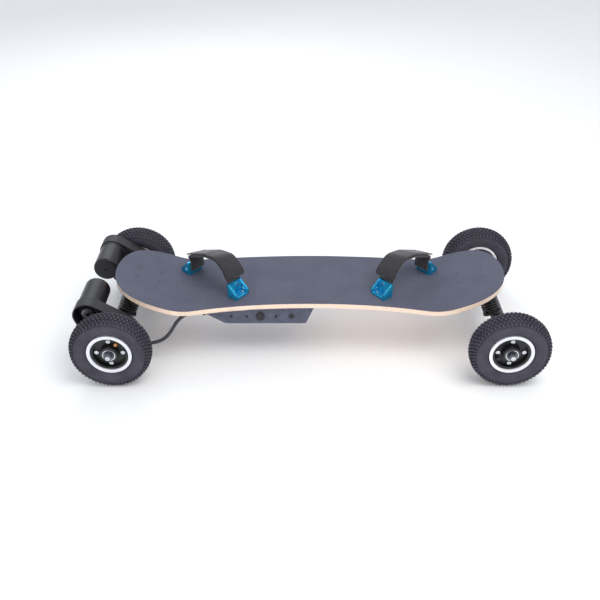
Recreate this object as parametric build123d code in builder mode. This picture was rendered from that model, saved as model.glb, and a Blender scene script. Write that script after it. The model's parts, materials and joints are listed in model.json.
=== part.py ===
from build123d import *
import os
from math import asin, cos, pi, radians, sin, sqrt, tan

# Off-road electric skateboard. Millimetres, +X to the nose, +Y to the rider's left,
# +Z up. The origin lies on the ground under the middle of the board.

# ---- driving dimensions ------------------------------------------------------------
wheelbase = 972
track = 425                 # tyre mid-plane to tyre mid-plane
tyre_diameter = 200
tyre_width = 52
axle_diameter = 12

deck_length = 1000
deck_waist = 117            # half width in the middle
deck_flare = 50             # how much the half width would grow towards the ends
deck_thickness = 12.5       # wood only
grip_thickness = 1
crown_height = 170          # top of the grip in the middle
camber_radius = 2640
valley_radius = 150
kick_slope = 18.9           # degrees
kick_start_z = 171          # height of the kick's top line where the kick starts
nose_radius = 220

enclosure_rear_x = -281     # at the deck
enclosure_front_x = 13
enclosure_floor_rear_x = -210
enclosure_floor_front_x = -12
enclosure_floor_z = 97
enclosure_half_width = 104
enclosure_wall = 3
gasket_thickness = 1.5

lean_axis_slope = 30        # degrees
pivot_setback = 34          # from the axle back to the pivot, along the board
base_setback = 34           # from the pivot back to the middle of the base plate
kick_lead = 28              # the kick starts this far before the base plate's middle
nose_lead = 32              # and turns down again this far past it
pivot_z = 135
pivot_pin_diameter = 12
barrel_diameter = 34
beam_diameter = 34
beam_half_length = 140
sleeve_diameter = 20
sleeve_end = 184            # half length over the axle sleeves
spring_wire = 5
spring_outer_diameter = 44
spring_turns = 7

motor_setback = 57          # from the axle out to the motor
motor_z = 170
motor_diameter = 64
motor_inner_end = 45
motor_outer_end = 130
mount_thickness = 8
wheel_pulley_radius = 52
motor_pulley_radius = 12.6
belt_thickness = 3
belt_width = 15
cover_depth = 36
cover_wall = 3

binding_x = 249
binding_turn = 40.5         # degrees between the strap's line and the board's length
strap_half_span = 81.5       # strap's middle to the face of each bracket
strap_width = 44             # across the strap's line
strap_thickness = 8
flap_thickness = 5
strap_crown = 86            # height of the strap's middle layer over the deck
strap_skew = 0.55           # the strap's cross lines lean this much along it
strap_drift = 0.114         # and its middle line wanders this much across
binding_skew = 9            # shift of each bracket across the strap's line

running_clearance = 0.05    # radial, shafts and pins in their bores
bolt_clearance = 0.25
belt_clearance = 0.3

# ---- values worked out from them -----------------------------------------------------
axle_x = wheelbase / 2
pivot_x = axle_x - pivot_setback
kick_plane_x = pivot_x - base_setback
kick_start_x = kick_plane_x - kick_lead
nose_start_x = kick_plane_x + nose_lead
motor_x = -axle_x - motor_setback
axle_z = tyre_diameter / 2
half_deck = deck_length / 2
deck_depth = deck_thickness + grip_thickness
kick = radians(kick_slope)
lean = radians(lean_axis_slope)
lean_axis = Vector(cos(lean), 0, sin(lean))
pivot = Vector(pivot_x, 0, pivot_z)

os.makedirs("parts", exist_ok=True)


def save(part, name):
    """Label one sub-part and write it to its STEP file."""
    part.label = name
    export_step(part, f"parts/{name}.step")


def turned(part, heading):
    """The same part turned about the upright through the board's middle."""
    with BuildPart() as placed:
        with Locations(Location((0, 0, 0), (0, 0, heading))):
            add(part)
    return placed.part


# ---- deck: side profile and outline --------------------------------------------------
camber_centre = Vector(0, crown_height - camber_radius)
kick_direction = Vector(cos(kick), sin(kick))
kick_normal = Vector(-sin(kick), cos(kick))
kick_rise = tan(kick)
valley_offset = (kick_start_z - kick_rise * kick_start_x + valley_radius / cos(kick)
                 - camber_centre.Y)
valley_a = 1 + kick_rise ** 2
valley_b = 2 * kick_rise * valley_offset
valley_c = valley_offset ** 2 - (camber_radius + valley_radius) ** 2
valley_x = (-valley_b + sqrt(valley_b ** 2 - 4 * valley_a * valley_c)) / (2 * valley_a)
valley_centre = Vector(valley_x, kick_rise * valley_x + valley_offset + camber_centre.Y)
nose_start = Vector(nose_start_x, kick_start_z + kick_rise * (nose_start_x - kick_start_x))
nose_centre = nose_start - kick_normal * nose_radius
overhang = 6                # the side profile runs this far past the outline
tip_slope = asin(sin(kick) - (half_deck + overhang - nose_start_x) / nose_radius)


def side_points(depth):
    """Points of the front half of the side profile, at this depth under the grip."""
    to_valley = (valley_centre - camber_centre).normalized()
    joint = camber_centre + to_valley * (camber_radius - depth)
    kick_end = valley_centre - kick_normal * (valley_radius + depth)
    sag = ((to_valley * -1) - kick_normal).normalized()
    valley_middle = valley_centre + sag * (valley_radius + depth)
    middle_slope = (kick + tip_slope) / 2
    nose_points = []
    for slope in (kick, middle_slope, tip_slope):
        outward = Vector(-sin(slope), cos(slope))
        nose_points.append(nose_centre + outward * (nose_radius - depth))
    return joint, valley_middle, kick_end, nose_points


def side_curve(depth):
    """The whole side profile at one depth, drawn into the current BuildLine."""
    joint, valley_middle, kick_end, nose = side_points(depth)
    for side in (1, -1):
        def at(point):
            return (side * point.X, point.Y)
        ThreePointArc(at(joint), at(valley_middle), at(kick_end))
        Line(at(kick_end), at(nose[0]))
        ThreePointArc(at(nose[0]), at(nose[1]), at(nose[2]))
    ThreePointArc((-joint.X, joint.Y), (0, crown_height - depth), (joint.X, joint.Y))
    return nose[2]


def deck_top(x):
    """Height of the grip over the ground at a distance x from the middle."""
    x = abs(x)
    joint, valley_middle, kick_end, nose = side_points(0)
    if x <= joint.X:
        return camber_centre.Y + sqrt(camber_radius ** 2 - x ** 2)
    if x <= kick_end.X:
        return valley_centre.Y - sqrt(valley_radius ** 2 - (x - valley_centre.X) ** 2)
    return kick_start_z + kick_rise * (x - kick_start_x)


def layer(top_depth, bottom_depth, half_width):
    """A slab that follows the side profile between two depths."""
    with BuildPart() as slab:
        with BuildSketch(Plane.XZ):
            with BuildLine():
                top = side_curve(top_depth)
                bottom = side_curve(bottom_depth)
                for side in (1, -1):
                    Line((side * top.X, top.Y), (side * bottom.X, bottom.Y))
            make_face()
        extrude(amount=half_width, both=True)
    return slab.part


def half_width_at(x):
    """Half width of the deck: waisted in the middle, flared, with rounded ends."""
    share = abs(x) / half_deck
    flare = deck_waist + deck_flare * share ** 3
    return flare * sqrt(max(0.0, 1 - share ** 7))


def outline_prism(bottom, top):
    """The deck's outline as an upright block."""
    quarter = 11
    rim = []
    for step in range(4 * quarter):
        turn = pi / 2 * step / quarter
        x = half_deck * cos(turn)
        side = 1 if sin(turn) >= 0 else -1
        width = 0 if step % (2 * quarter) == 0 else side * half_width_at(x)
        rim.append((x, width))
    with BuildPart() as block:
        with BuildSketch(Plane.XY.offset(bottom)):
            with BuildLine():
                Spline(*rim, periodic=True)
            make_face()
        extrude(amount=top - bottom)
    return block.part


kick_under = (nose_start - kick_normal * deck_depth
              + kick_direction * ((kick_plane_x - nose_start_x) / cos(kick)))
truck_plane = Plane(origin=(kick_under.X, 0, kick_under.Y), x_dir=(cos(kick), 0, sin(kick)),
                    z_dir=(-sin(kick), 0, cos(kick)))
truck_bolt_spacing = (60, 41)
truck_bolt_diameter = 5
bolt_head_diameter = 10
bolt_head_height = 3


outline = outline_prism(120, 240)
deck_layer = layer(grip_thickness, deck_depth, 160)
grip_layer = layer(0, grip_thickness, 160)


# ---- deck and grip tape --------------------------------------------------------------
def binding_plane(end):
    """Frame of one binding: origin between its brackets, x along the strap to the near one."""
    turn = radians(-binding_turn)
    line = Vector(cos(turn), sin(turn))
    across_line = Vector(-sin(turn), cos(turn))
    near = Vector(-binding_x, 0) + line * bracket_centre - across_line * binding_skew
    far = Vector(-binding_x, 0) - line * bracket_centre + across_line * binding_skew
    near_foot = Vector(near.X * end, near.Y, deck_top(near.X))
    far_foot = Vector(far.X * end, far.Y, deck_top(far.X))
    rise = (near_foot.Z - far_foot.Z) / (2 * bracket_centre)
    along = Vector(line.X * end, line.Y, rise).normalized()
    across = Vector(0, 0, 1).cross(along)
    return Plane(origin=(near_foot + far_foot) * 0.5, x_dir=along, z_dir=along.cross(across))


upright_thickness = 5
bracket_depth = 30          # from the strap outwards
bracket_width = 46
bracket_height = 36
bracket_foot = 5
bracket_centre = strap_half_span + bracket_depth / 2
binding_bolt_diameter = 6
binding_bolt_spacing = 20
binding_bolt_x = strap_half_span + 17
binding_planes = {"rear": binding_plane(1), "front": binding_plane(-1)}
binding_hand = {"rear": 1, "front": -1}    # the front binding is the rear one mirrored


def bracket_shift(end, side):
    """How far a bracket stands across the strap's line."""
    return -side * binding_hand[end] * binding_skew


def truck_bore(diameter, depth):
    """The four holes of the front truck and of the rear truck, as plain cylinders."""
    with BuildPart() as front:
        with BuildSketch(truck_plane):
            with GridLocations(*truck_bolt_spacing, 2, 2):
                Circle(diameter / 2)
        extrude(amount=depth, both=True)
    return [front.part, turned(front.part, 180)]


def truck_heads(diameter, height):
    """Room for the countersunk heads, just under the grip's top face."""
    with BuildPart() as front:
        with BuildSketch(truck_plane.offset(deck_depth - height)):
            with GridLocations(*truck_bolt_spacing, 2, 2):
                Circle(diameter / 2)
        extrude(amount=height + 2)
    return [front.part, turned(front.part, 180)]


def binding_bore(diameter, depth):
    """Two holes under each of the four brackets."""
    bores = []
    for end, plane in binding_planes.items():
        with BuildPart() as pair:
            with BuildSketch(plane):
                for side in (1, -1):
                    with Locations((side * binding_bolt_x, bracket_shift(end, side))):
                        with GridLocations(0, binding_bolt_spacing, 1, 2):
                            Circle(diameter / 2)
            extrude(amount=depth, both=True)
        bores.append(pair.part)
    return bores


def drilled(body):
    """A deck layer cut to the outline, with the holes of the trucks and bindings."""
    with BuildPart() as board:
        add(body)
        add(outline, mode=Mode.INTERSECT)
        for bore in truck_bore(truck_bolt_diameter + 2 * bolt_clearance, 40):
            add(bore, mode=Mode.SUBTRACT)
        for bore in truck_heads(bolt_head_diameter + 2 * bolt_clearance, bolt_head_height):
            add(bore, mode=Mode.SUBTRACT)
        for bore in binding_bore(binding_bolt_diameter + 2 * bolt_clearance, 40):
            add(bore, mode=Mode.SUBTRACT)
    return board.part


save(drilled(deck_layer), "deck")
save(drilled(grip_layer), "grip_tape")
board_block = layer(-0.02, deck_depth + 0.02, 160)


# ---- trucks --------------------------------------------------------------------------
def spring_line(side):
    """Upper and lower seat of the spring on one side of the front truck."""
    return (Vector(pivot_x - 4, side * 60, pivot_z + 31),
            Vector(pivot_x + 14, side * 81, pivot_z - 13))


spring_axis = {}
for side in (1, -1):
    upper, lower = spring_line(side)
    spring_axis[side] = (upper, lower, (upper - lower).normalized())
spring_length = (spring_axis[1][0] - spring_axis[1][1]).length
seat_radius = spring_outer_diameter / 2 + 1
seat_thickness = 5
core_radius = 15            # spigots that hold the spring's ends
lug_gap = 20                # pivot's middle to the inner faces of the lugs
lug_thickness = 9
lug_radius = 15
base_plate_thickness = 8
lean_plane = Plane(origin=(pivot_x, 0, pivot_z), x_dir=(-sin(lean), 0, cos(lean)),
                   z_dir=(cos(lean), 0, sin(lean)))

with BuildPart() as base_plate:
    with BuildSketch(truck_plane):
        RectangleRounded(96, 116, 14)
    extrude(amount=-base_plate_thickness)
    for start in (lug_gap, -lug_gap - lug_thickness):
        with BuildSketch(lean_plane.offset(start)):
            Circle(lug_radius)
            with Locations((30, 0)):
                Rectangle(60, 2 * lug_radius)
        extrude(amount=lug_thickness)
    for side in (1, -1):
        upper, lower, axis = spring_axis[side]
        with BuildSketch(Plane(origin=upper, z_dir=axis)):
            Circle(seat_radius)
        extrude(amount=14)
        with BuildSketch(Plane(origin=upper, z_dir=axis)):
            Circle(core_radius)
        extrude(amount=-6)
    with BuildSketch(truck_plane):
        Rectangle(300, 300)
    extrude(amount=90, mode=Mode.SUBTRACT)
    add(board_block, mode=Mode.SUBTRACT)
    with BuildSketch(lean_plane):
        Circle(pivot_pin_diameter / 2 + running_clearance)
    extrude(amount=60, both=True, mode=Mode.SUBTRACT)
    with BuildSketch(truck_plane):
        with GridLocations(*truck_bolt_spacing, 2, 2):
            Circle(truck_bolt_diameter / 2 + bolt_clearance)
    extrude(amount=-base_plate_thickness - 1, mode=Mode.SUBTRACT)

with BuildPart() as pivot_pin:
    pin_end = lug_gap + lug_thickness
    with BuildSketch(lean_plane.offset(-pin_end - 10)):
        Circle(pivot_pin_diameter / 2)
    extrude(amount=2 * pin_end + 20)
    with BuildSketch(lean_plane.offset(pin_end)):
        RegularPolygon(10, 6)
    extrude(amount=8)

with BuildPart() as pivot_nut:
    with BuildSketch(lean_plane.offset(-pin_end)):
        RegularPolygon(10, 6)
        Circle(pivot_pin_diameter / 2 + running_clearance, mode=Mode.SUBTRACT)
    extrude(amount=-9)

with BuildPart() as hanger:
    with BuildSketch(lean_plane):
        Circle(barrel_diameter / 2)
    extrude(amount=lug_gap - 1, both=True)
    with BuildSketch(Plane.XZ):
        with Locations((pivot_x, pivot_z)):
            Circle(13)
        with Locations((axle_x, axle_z)):
            Circle(beam_diameter / 2)
        make_hull()
    extrude(amount=22, both=True)
    with BuildSketch(Plane.XZ):
        with Locations((axle_x, axle_z)):
            Circle(beam_diameter / 2)
    extrude(amount=beam_half_length, both=True)
    with BuildSketch(Plane.XZ):
        with Locations((axle_x, axle_z)):
            Circle(sleeve_diameter / 2)
    extrude(amount=sleeve_end, both=True)
    for side in (1, -1):
        upper, lower, axis = spring_axis[side]
        with BuildSketch(Plane(origin=lower, z_dir=axis)):
            Circle(seat_radius)
        extrude(amount=-seat_thickness)
        with BuildSketch(Plane(origin=lower, z_dir=axis)):
            Circle(core_radius)
        extrude(amount=6)
    with BuildSketch(lean_plane):
        Circle(pivot_pin_diameter / 2 + running_clearance)
    extrude(amount=60, both=True, mode=Mode.SUBTRACT)
    with BuildSketch(Plane.XZ):
        with Locations((axle_x, axle_z)):
            Circle(axle_diameter / 2 + running_clearance)
    extrude(amount=sleeve_end + 1, both=True, mode=Mode.SUBTRACT)


def spring(side):
    """One coil spring between its two seats."""
    upper, lower, axis = spring_axis[side]
    radius = (spring_outer_diameter - spring_wire) / 2
    rise = spring_length - spring_wire - 0.4
    start = lower + axis * (spring_wire / 2 + 0.2)
    with BuildPart() as coil:
        with BuildLine():
            path = Helix(pitch=rise / spring_turns, height=rise, radius=radius, center=start,
                         direction=axis)
        with BuildSketch(Plane(origin=path @ 0, z_dir=path % 0)):
            Circle(spring_wire / 2)
        sweep(path=path, is_frenet=True)
    return coil.part


springs = Compound(children=[spring(1), spring(-1)])

axle_end = track / 2 + 38
nut_inner = track / 2 + 27
with BuildPart() as axle:
    with BuildSketch(Plane.XZ):
        with Locations((axle_x, axle_z)):
            Circle(axle_diameter / 2)
    extrude(amount=axle_end, both=True)

with BuildPart() as axle_nuts:
    for side in (1, -1):
        face = Plane(origin=(axle_x, side * (nut_inner - 2), axle_z), x_dir=(1, 0, 0),
                     z_dir=(0, side, 0))
        with BuildSketch(face):
            Circle(12)
            Circle(axle_diameter / 2 + running_clearance, mode=Mode.SUBTRACT)
        extrude(amount=2)
        with BuildSketch(face.offset(2)):
            RegularPolygon(10.5, 6)
            Circle(axle_diameter / 2 + running_clearance, mode=Mode.SUBTRACT)
        extrude(amount=8)

for end, heading in (("front", 0), ("rear", 180)):
    save(turned(base_plate.part, heading), f"{end}_base_plate")
    pin = Compound(children=[turned(pivot_pin.part, heading), turned(pivot_nut.part, heading)])
    save(pin, f"{end}_pivot_pin")
    save(turned(hanger.part, heading), f"{end}_hanger")
    coils = Compound(children=[turned(coil, heading) for coil in springs.children])
    save(coils, f"{end}_springs")
    save(turned(axle.part, heading), f"{end}_axle")
    save(turned(axle_nuts.part, heading), f"{end}_axle_nuts")

nut_height = 5
truck_bolts = []
for heading in (0, 180):
    with BuildPart() as bolts:
        with BuildSketch(truck_plane.offset(-base_plate_thickness - nut_height - 4)):
            with GridLocations(*truck_bolt_spacing, 2, 2):
                Circle(truck_bolt_diameter / 2)
        extrude(amount=base_plate_thickness + nut_height + 4 + deck_depth - 0.5)
        with BuildSketch(truck_plane.offset(deck_depth - bolt_head_height)):
            with GridLocations(*truck_bolt_spacing, 2, 2):
                Circle(bolt_head_diameter / 2)
        extrude(amount=bolt_head_height - 0.5)
    truck_bolts.append(turned(bolts.part, heading))
    with BuildPart() as nuts:
        with BuildSketch(truck_plane.offset(-base_plate_thickness - nut_height)):
            with GridLocations(*truck_bolt_spacing, 2, 2):
                RegularPolygon(4.6, 6)
                Circle(truck_bolt_diameter / 2 + running_clearance, mode=Mode.SUBTRACT)
        extrude(amount=nut_height)
    truck_bolts.append(turned(nuts.part, heading))
save(Compound(children=truck_bolts), "truck_bolts")


# ---- wheels: drawn about the Y axis with the outer side towards +Y ---------------------
rim_radius = 51.5             # outside of the barrel, where the tyre's beads sit
rim_flange_radius = 54.5
rim_ring_inner = 46.5       # the bright ring seen from outside
rim_half_width = 21.5
rim_flange_width = 4
bead_clearance = 0.2
hub_bolt_circle = 32
hub_boss_radius = 21
bearing_radius = 16
bearing_width = 10
bearing_outer_face = 25
web_thickness = 7
tyre_wall = 5
tread_half_width = 14


def ring_section(points):
    """A solid of revolution about the Y axis from (radius, axial) corner points."""
    with BuildPart() as ring:
        with BuildSketch(Plane.XY):
            with BuildLine():
                Polyline(*points, close=True)
            make_face()
        revolve(axis=Axis.Y)
    return ring.part


def tyre():
    """The tyre's carcass with open beads, and the inner tube inside it."""
    crown = tyre_diameter / 2
    side = tyre_width / 2
    seat = rim_radius + bead_clearance
    heel = rim_half_width - rim_flange_width - bead_clearance
    over_flange = rim_flange_radius + 1.2
    outer = [(seat, heel), (over_flange, heel), (over_flange, side - 5), (over_flange + 9, side - 1), (crown - 22, side), (crown - 8, side - 3),
             (crown - 1.5, tread_half_width + 4), (crown, tread_half_width - 6)]
    inner = [(seat, heel - tyre_wall), (seat + 8, heel - 1.3), (over_flange + 9, side - tyre_wall - 1),
             (crown - 22, side - tyre_wall), (crown - 13, side - 9), (crown - 7, 4)]
    with BuildPart() as carcass:
        with BuildSketch(Plane.XY):
            with BuildLine():
                for sign in (1, -1):
                    Polyline(*[(x, sign * y) for x, y in outer])
                    Polyline(*[(x, sign * y) for x, y in inner])
                    Line((outer[0][0], sign * outer[0][1]), (inner[0][0], sign * inner[0][1]))
                Line((outer[-1][0], outer[-1][1]), (outer[-1][0], -outer[-1][1]))
                Line((inner[-1][0], inner[-1][1]), (inner[-1][0], -inner[-1][1]))
            make_face()
        revolve(axis=Axis.Y)
    tube_middle = (rim_radius + crown - 7) / 2
    tube_height = crown - 7 - rim_radius - 2
    with BuildPart() as tube:
        with BuildSketch(Plane.XY):
            with Locations((tube_middle, 0)):
                SlotOverall(tube_height, 28)
                SlotOverall(tube_height - 3, 25, mode=Mode.SUBTRACT)
        revolve(axis=Axis.Y)
    return [carcass.part, tube.part]


def rim():
    """Bright rim: a barrel with two flanges and a broad ring on the outer side."""
    edge = rim_half_width
    inner_edge = edge - rim_flange_width
    return ring_section([
        (rim_ring_inner, edge + 1), (rim_flange_radius, edge + 1), (rim_flange_radius, inner_edge),
        (rim_radius, inner_edge), (rim_radius, -inner_edge), (rim_flange_radius, -inner_edge),
        (rim_flange_radius, -edge), (rim_radius - 3, -edge), (rim_radius - 3, edge - 3),
        (rim_ring_inner, edge - 3)])


def hub():
    """Black dished hub that carries the rim, with four bolt holes and a bored boss."""
    edge = rim_half_width
    face = 8
    seat = rim_radius - 3
    with BuildPart() as body:
        with BuildSketch(Plane.XY):
            with BuildLine():
                Polyline((bearing_radius, bearing_outer_face), (hub_boss_radius, bearing_outer_face - 2),
                         (hub_boss_radius + 2, face), (seat - 8, face), (seat - 8, edge - 3),
                         (seat, edge - 3), (seat, -edge + 1), (seat - 5, -edge + 1),
                         (seat - 8, face - web_thickness), (hub_boss_radius + 2, face - web_thickness),
                         (hub_boss_radius, -bearing_outer_face), (bearing_radius, -bearing_outer_face),
                         close=True)
            make_face()
        revolve(axis=Axis.Y)
        with BuildSketch(Plane.XZ.offset(-face - 1)):
            with PolarLocations(hub_bolt_circle, 4, start_angle=90):
                Circle(3.2)
        extrude(amount=40, mode=Mode.SUBTRACT)
    return body.part


def hub_hardware():
    """Two ball bearings and four bolts with nuts."""
    pieces = []
    for start in (bearing_outer_face - bearing_width, -bearing_outer_face):
        pieces.append(ring_section([
            (axle_diameter / 2 + running_clearance, start), (bearing_radius, start),
            (bearing_radius, start + bearing_width),
            (axle_diameter / 2 + running_clearance, start + bearing_width)]))
    with BuildPart() as bolts:
        with BuildSketch(Plane.XZ.offset(-8)):
            with PolarLocations(hub_bolt_circle, 4, start_angle=90):
                Circle(5.2)
        extrude(amount=-5)
        with BuildSketch(Plane.XZ.offset(-8)):
            with PolarLocations(hub_bolt_circle, 4, start_angle=90):
                Circle(3)
        extrude(amount=web_thickness + 6)
        with BuildSketch(Plane.XZ.offset(-8 + web_thickness)):
            with PolarLocations(hub_bolt_circle, 4, start_angle=90):
                RegularPolygon(5.5, 6)
        extrude(amount=5)
    pieces.extend(bolts.part.solids())
    return pieces


wheel_pieces = {"tyre": tyre(), "rim": [rim()], "hub": [hub()], "hub_hardware": hub_hardware()}


def wheel_frame(x_side, y_side):
    """Where a wheel sits: its outer side turned away from the board."""
    return Location((x_side * axle_x, y_side * track / 2, axle_z), (0, 0, 0 if y_side > 0 else 180))


for end, x_side in (("front", 1), ("rear", -1)):
    for hand, y_side in (("left", 1), ("right", -1)):
        for piece, solids in wheel_pieces.items():
            with BuildPart() as placed:
                with Locations(wheel_frame(x_side, y_side)):
                    add(solids)
            save(placed.part, f"{end}_{hand}_{piece}")


# ---- drive: both sides of the rear truck ------------------------------------------------
mount_start = motor_outer_end
mount_end = mount_start + mount_thickness
belt_start = mount_end + 8
belt_end = belt_start + belt_width
cover_end = mount_end + cover_depth
hub_inner_face = track / 2 - bearing_outer_face
axle_at = (-axle_x, axle_z)
motor_at = (motor_x, motor_z)


def side_plane(distance, y_side):
    """A plane across the axle at this distance from the board's middle."""
    return Plane(origin=(0, y_side * distance, 0), x_dir=(1, 0, 0), z_dir=(0, -1, 0))


def loop_of(axle_radius, motor_radius):
    """Outline that wraps round the axle and the motor shaft."""
    with BuildSketch(mode=Mode.PRIVATE) as loop:
        with Locations(axle_at):
            Circle(axle_radius)
        with Locations(motor_at):
            Circle(motor_radius)
        make_hull()
    return loop.sketch


def slab(profile, start, end, y_side):
    """A flat profile of the XZ plane, thickened between two distances from the middle."""
    with BuildPart() as body:
        with BuildSketch(side_plane(start, y_side)):
            add(profile)
        extrude(amount=-y_side * (end - start))
    return body.part


def disc(centre, outer, inner, start, end, y_side):
    """A disc or ring about an axis across the board."""
    with BuildSketch(mode=Mode.PRIVATE) as ring:
        with Locations(centre):
            Circle(outer)
            if inner:
                Circle(inner, mode=Mode.SUBTRACT)
    return slab(ring.sketch, start, end, y_side)


motor_shaft_radius = 5
motor_outlet_y = 106        # cable outlet under each motor, from the board's middle
motor_outlet_radius = 7
motor_outlet_z = motor_z - motor_diameter / 2 - 8
motor_radius = motor_diameter / 2
can_wall = 3
mount_screw_circle = 22
cover_axle_radius = 63
cover_motor_radius = 35


def motor_mount(y_side):
    """Plate clamped round the axle beam, with the motor screwed to its inner face."""
    with BuildPart() as plate:
        add(slab(loop_of(26, 33), mount_start, mount_end, y_side))
        add(disc(axle_at, beam_diameter / 2 + running_clearance, 0, mount_start - 1, mount_end + 1,
                 y_side), mode=Mode.SUBTRACT)
        add(disc(motor_at, motor_shaft_radius + 4, 0, mount_start - 1, mount_end + 1, y_side),
            mode=Mode.SUBTRACT)
    return plate.part


def motor_body(y_side):
    """Closed can round the motor, with a bearing hole at each end, and the stator core."""
    length_end = motor_outer_end
    with BuildPart() as can:
        add(disc(motor_at, motor_radius, 0, motor_inner_end, length_end, y_side))
        outer_edges = can.edges().filter_by(GeomType.CIRCLE).group_by(Axis.Y)
        inner_rim = outer_edges[0] if y_side > 0 else outer_edges[-1]
        fillet(inner_rim, radius=5)
        with BuildSketch(Plane.XY.offset(motor_outlet_z)):
            with Locations((motor_x, y_side * motor_outlet_y)):
                Circle(motor_outlet_radius)
        extrude(amount=20)
        add(disc(motor_at, motor_radius - can_wall, 0, motor_inner_end + 5, length_end - 5, y_side),
            mode=Mode.SUBTRACT)
        add(disc(motor_at, motor_shaft_radius + running_clearance, 0, motor_inner_end + 1.5,
                 length_end + 1, y_side), mode=Mode.SUBTRACT)
        add(disc(motor_at, motor_shaft_radius - 1, 0, motor_inner_end - 1, motor_inner_end + 2, y_side),
            mode=Mode.SUBTRACT)
        add(disc(motor_at, 12, motor_shaft_radius + running_clearance, length_end - 20,
                 length_end - 5, y_side))
    stator = disc(motor_at, 22, 12, motor_inner_end + 18, length_end - 5, y_side)
    return [can.part, stator]


def motor_rotor(y_side):
    """Shaft, end bell and magnet ring of the outrunner, turning inside the can."""
    with BuildPart() as turning:
        add(disc(motor_at, motor_shaft_radius, 0, motor_inner_end + 2, belt_end + 3, y_side))
        add(disc(motor_at, motor_radius - can_wall - 1, 0, motor_inner_end + 7, motor_inner_end + 12,
                 y_side))
        add(disc(motor_at, motor_radius - can_wall - 1, 23, motor_inner_end + 12,
                 motor_outer_end - 8, y_side))
    return turning.part


def toothed(centre, radius, bore, teeth, y_side):
    """A belt pulley: grooved drum with a flange on each side."""
    groove = pi * radius / teeth
    with BuildSketch(mode=Mode.PRIVATE) as face:
        with Locations(centre):
            Circle(radius)
            with PolarLocations(radius, teeth):
                Rectangle(3, groove, mode=Mode.SUBTRACT)
            Circle(bore, mode=Mode.SUBTRACT)
    with BuildPart() as drum:
        add(slab(face.sketch, belt_start, belt_end, y_side))
        for start in (belt_start - 2, belt_end):
            add(disc(centre, radius + 2, bore, start, start + 2, y_side))
    return drum.part


def wheel_pulley(y_side):
    """Large pulley with the adapter that bolts it to the wheel's hub."""
    bore = sleeve_diameter / 2 + 1
    with BuildPart() as pulley:
        add(toothed(axle_at, wheel_pulley_radius, bore, 66, y_side))
        add(disc(axle_at, 26, bore, belt_end + 2, hub_inner_face, y_side))
    return pulley.part


def drive_belt(y_side):
    """Closed toothed belt round both pulleys."""
    inner_gap = belt_clearance
    with BuildPart() as band:
        add(slab(loop_of(wheel_pulley_radius + inner_gap + belt_thickness,
                         motor_pulley_radius + inner_gap + belt_thickness),
                 belt_start + 0.3, belt_end - 0.3, y_side))
        add(slab(loop_of(wheel_pulley_radius + inner_gap, motor_pulley_radius + inner_gap),
                 belt_start - 1, belt_end + 1, y_side), mode=Mode.SUBTRACT)
    return band.part


def belt_cover(y_side):
    """Guard round the belt: a back plate on the mount and a wall towards the wheel."""
    with BuildPart() as cover:
        add(slab(loop_of(cover_axle_radius, cover_motor_radius), mount_end, cover_end, y_side))
        add(slab(loop_of(cover_axle_radius - cover_wall, cover_motor_radius - cover_wall),
                 mount_end + cover_wall, cover_end + 1, y_side), mode=Mode.SUBTRACT)
        add(disc(axle_at, beam_diameter / 2 + 1, 0, mount_end - 1, cover_end + 1, y_side),
            mode=Mode.SUBTRACT)
        add(disc(motor_at, motor_shaft_radius + 4, 0, mount_end - 1, cover_end + 1, y_side),
            mode=Mode.SUBTRACT)
    return cover.part


drive_screws = []
for hand, y_side in (("left", 1), ("right", -1)):
    save(motor_mount(y_side), f"{hand}_motor_mount")
    save(Compound(children=motor_body(y_side)), f"{hand}_motor_body")
    save(motor_rotor(y_side), f"{hand}_motor_rotor")
    save(toothed(motor_at, motor_pulley_radius, motor_shaft_radius + 0.02, 16, y_side),
         f"{hand}_motor_pulley")
    save(wheel_pulley(y_side), f"{hand}_wheel_pulley")
    save(drive_belt(y_side), f"{hand}_drive_belt")
    save(belt_cover(y_side), f"{hand}_belt_cover")
    for turn in (30, 120, 210, 300):
        centre = (motor_x + mount_screw_circle * cos(radians(turn)),
                  motor_z + mount_screw_circle * sin(radians(turn)))
        drive_screws.append(disc(centre, 4, 0, mount_end + cover_wall, mount_end + cover_wall + 2.5,
                                 y_side))
save(Compound(children=drive_screws), "drive_screws")


# ---- enclosure under the rear half of the deck ---------------------------------------
port_x = -126
button_x = -47
side_screw_x = -200
side_feature_z = 122
port_bore = 8
port_body_radius = 8
button_radius = 6
button_travel = 1.5
gland_y = -86
gland_z = 123
gland_length = 36
gland_inner_x = -242
cable_diameter = 9
under_gasket = deck_depth + gasket_thickness
battery_cell_radius = 10.5
battery_cell_length = 70


def tray_block(inset, half_width, floor):
    """The enclosure's solid wedge shape, reduced all round by a wall's thickness."""
    lean_in = inset * 1.3
    top = 190
    rear_rise = (enclosure_floor_rear_x - enclosure_rear_x) / 44
    front_rise = (enclosure_front_x - enclosure_floor_front_x) / 59
    rise = top - enclosure_floor_z
    with BuildPart() as block:
        with BuildSketch(Plane.XZ):
            with BuildLine():
                Polyline((enclosure_floor_rear_x + lean_in, enclosure_floor_z),
                         (enclosure_floor_front_x - lean_in, enclosure_floor_z),
                         (enclosure_floor_front_x - lean_in + front_rise * rise, top),
                         (enclosure_floor_rear_x + lean_in - rear_rise * rise, top), close=True)
            make_face()
        extrude(amount=half_width, both=True)
        if floor:
            with BuildSketch(Plane.XY.offset(enclosure_floor_z)):
                Rectangle(900, 400)
            extrude(amount=floor, mode=Mode.SUBTRACT)
    return block.part


side_plane_near = Plane(origin=(0, -enclosure_half_width, 0), x_dir=(1, 0, 0), z_dir=(0, -1, 0))


def side_disc(x, radius, start, end):
    """A disc on the enclosure's near side, from start to end outwards of its face."""
    with BuildPart() as body:
        with BuildSketch(side_plane_near.offset(start)):
            with Locations((x, side_feature_z)):
                Circle(radius)
        extrude(amount=end - start)
    return body.part


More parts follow.
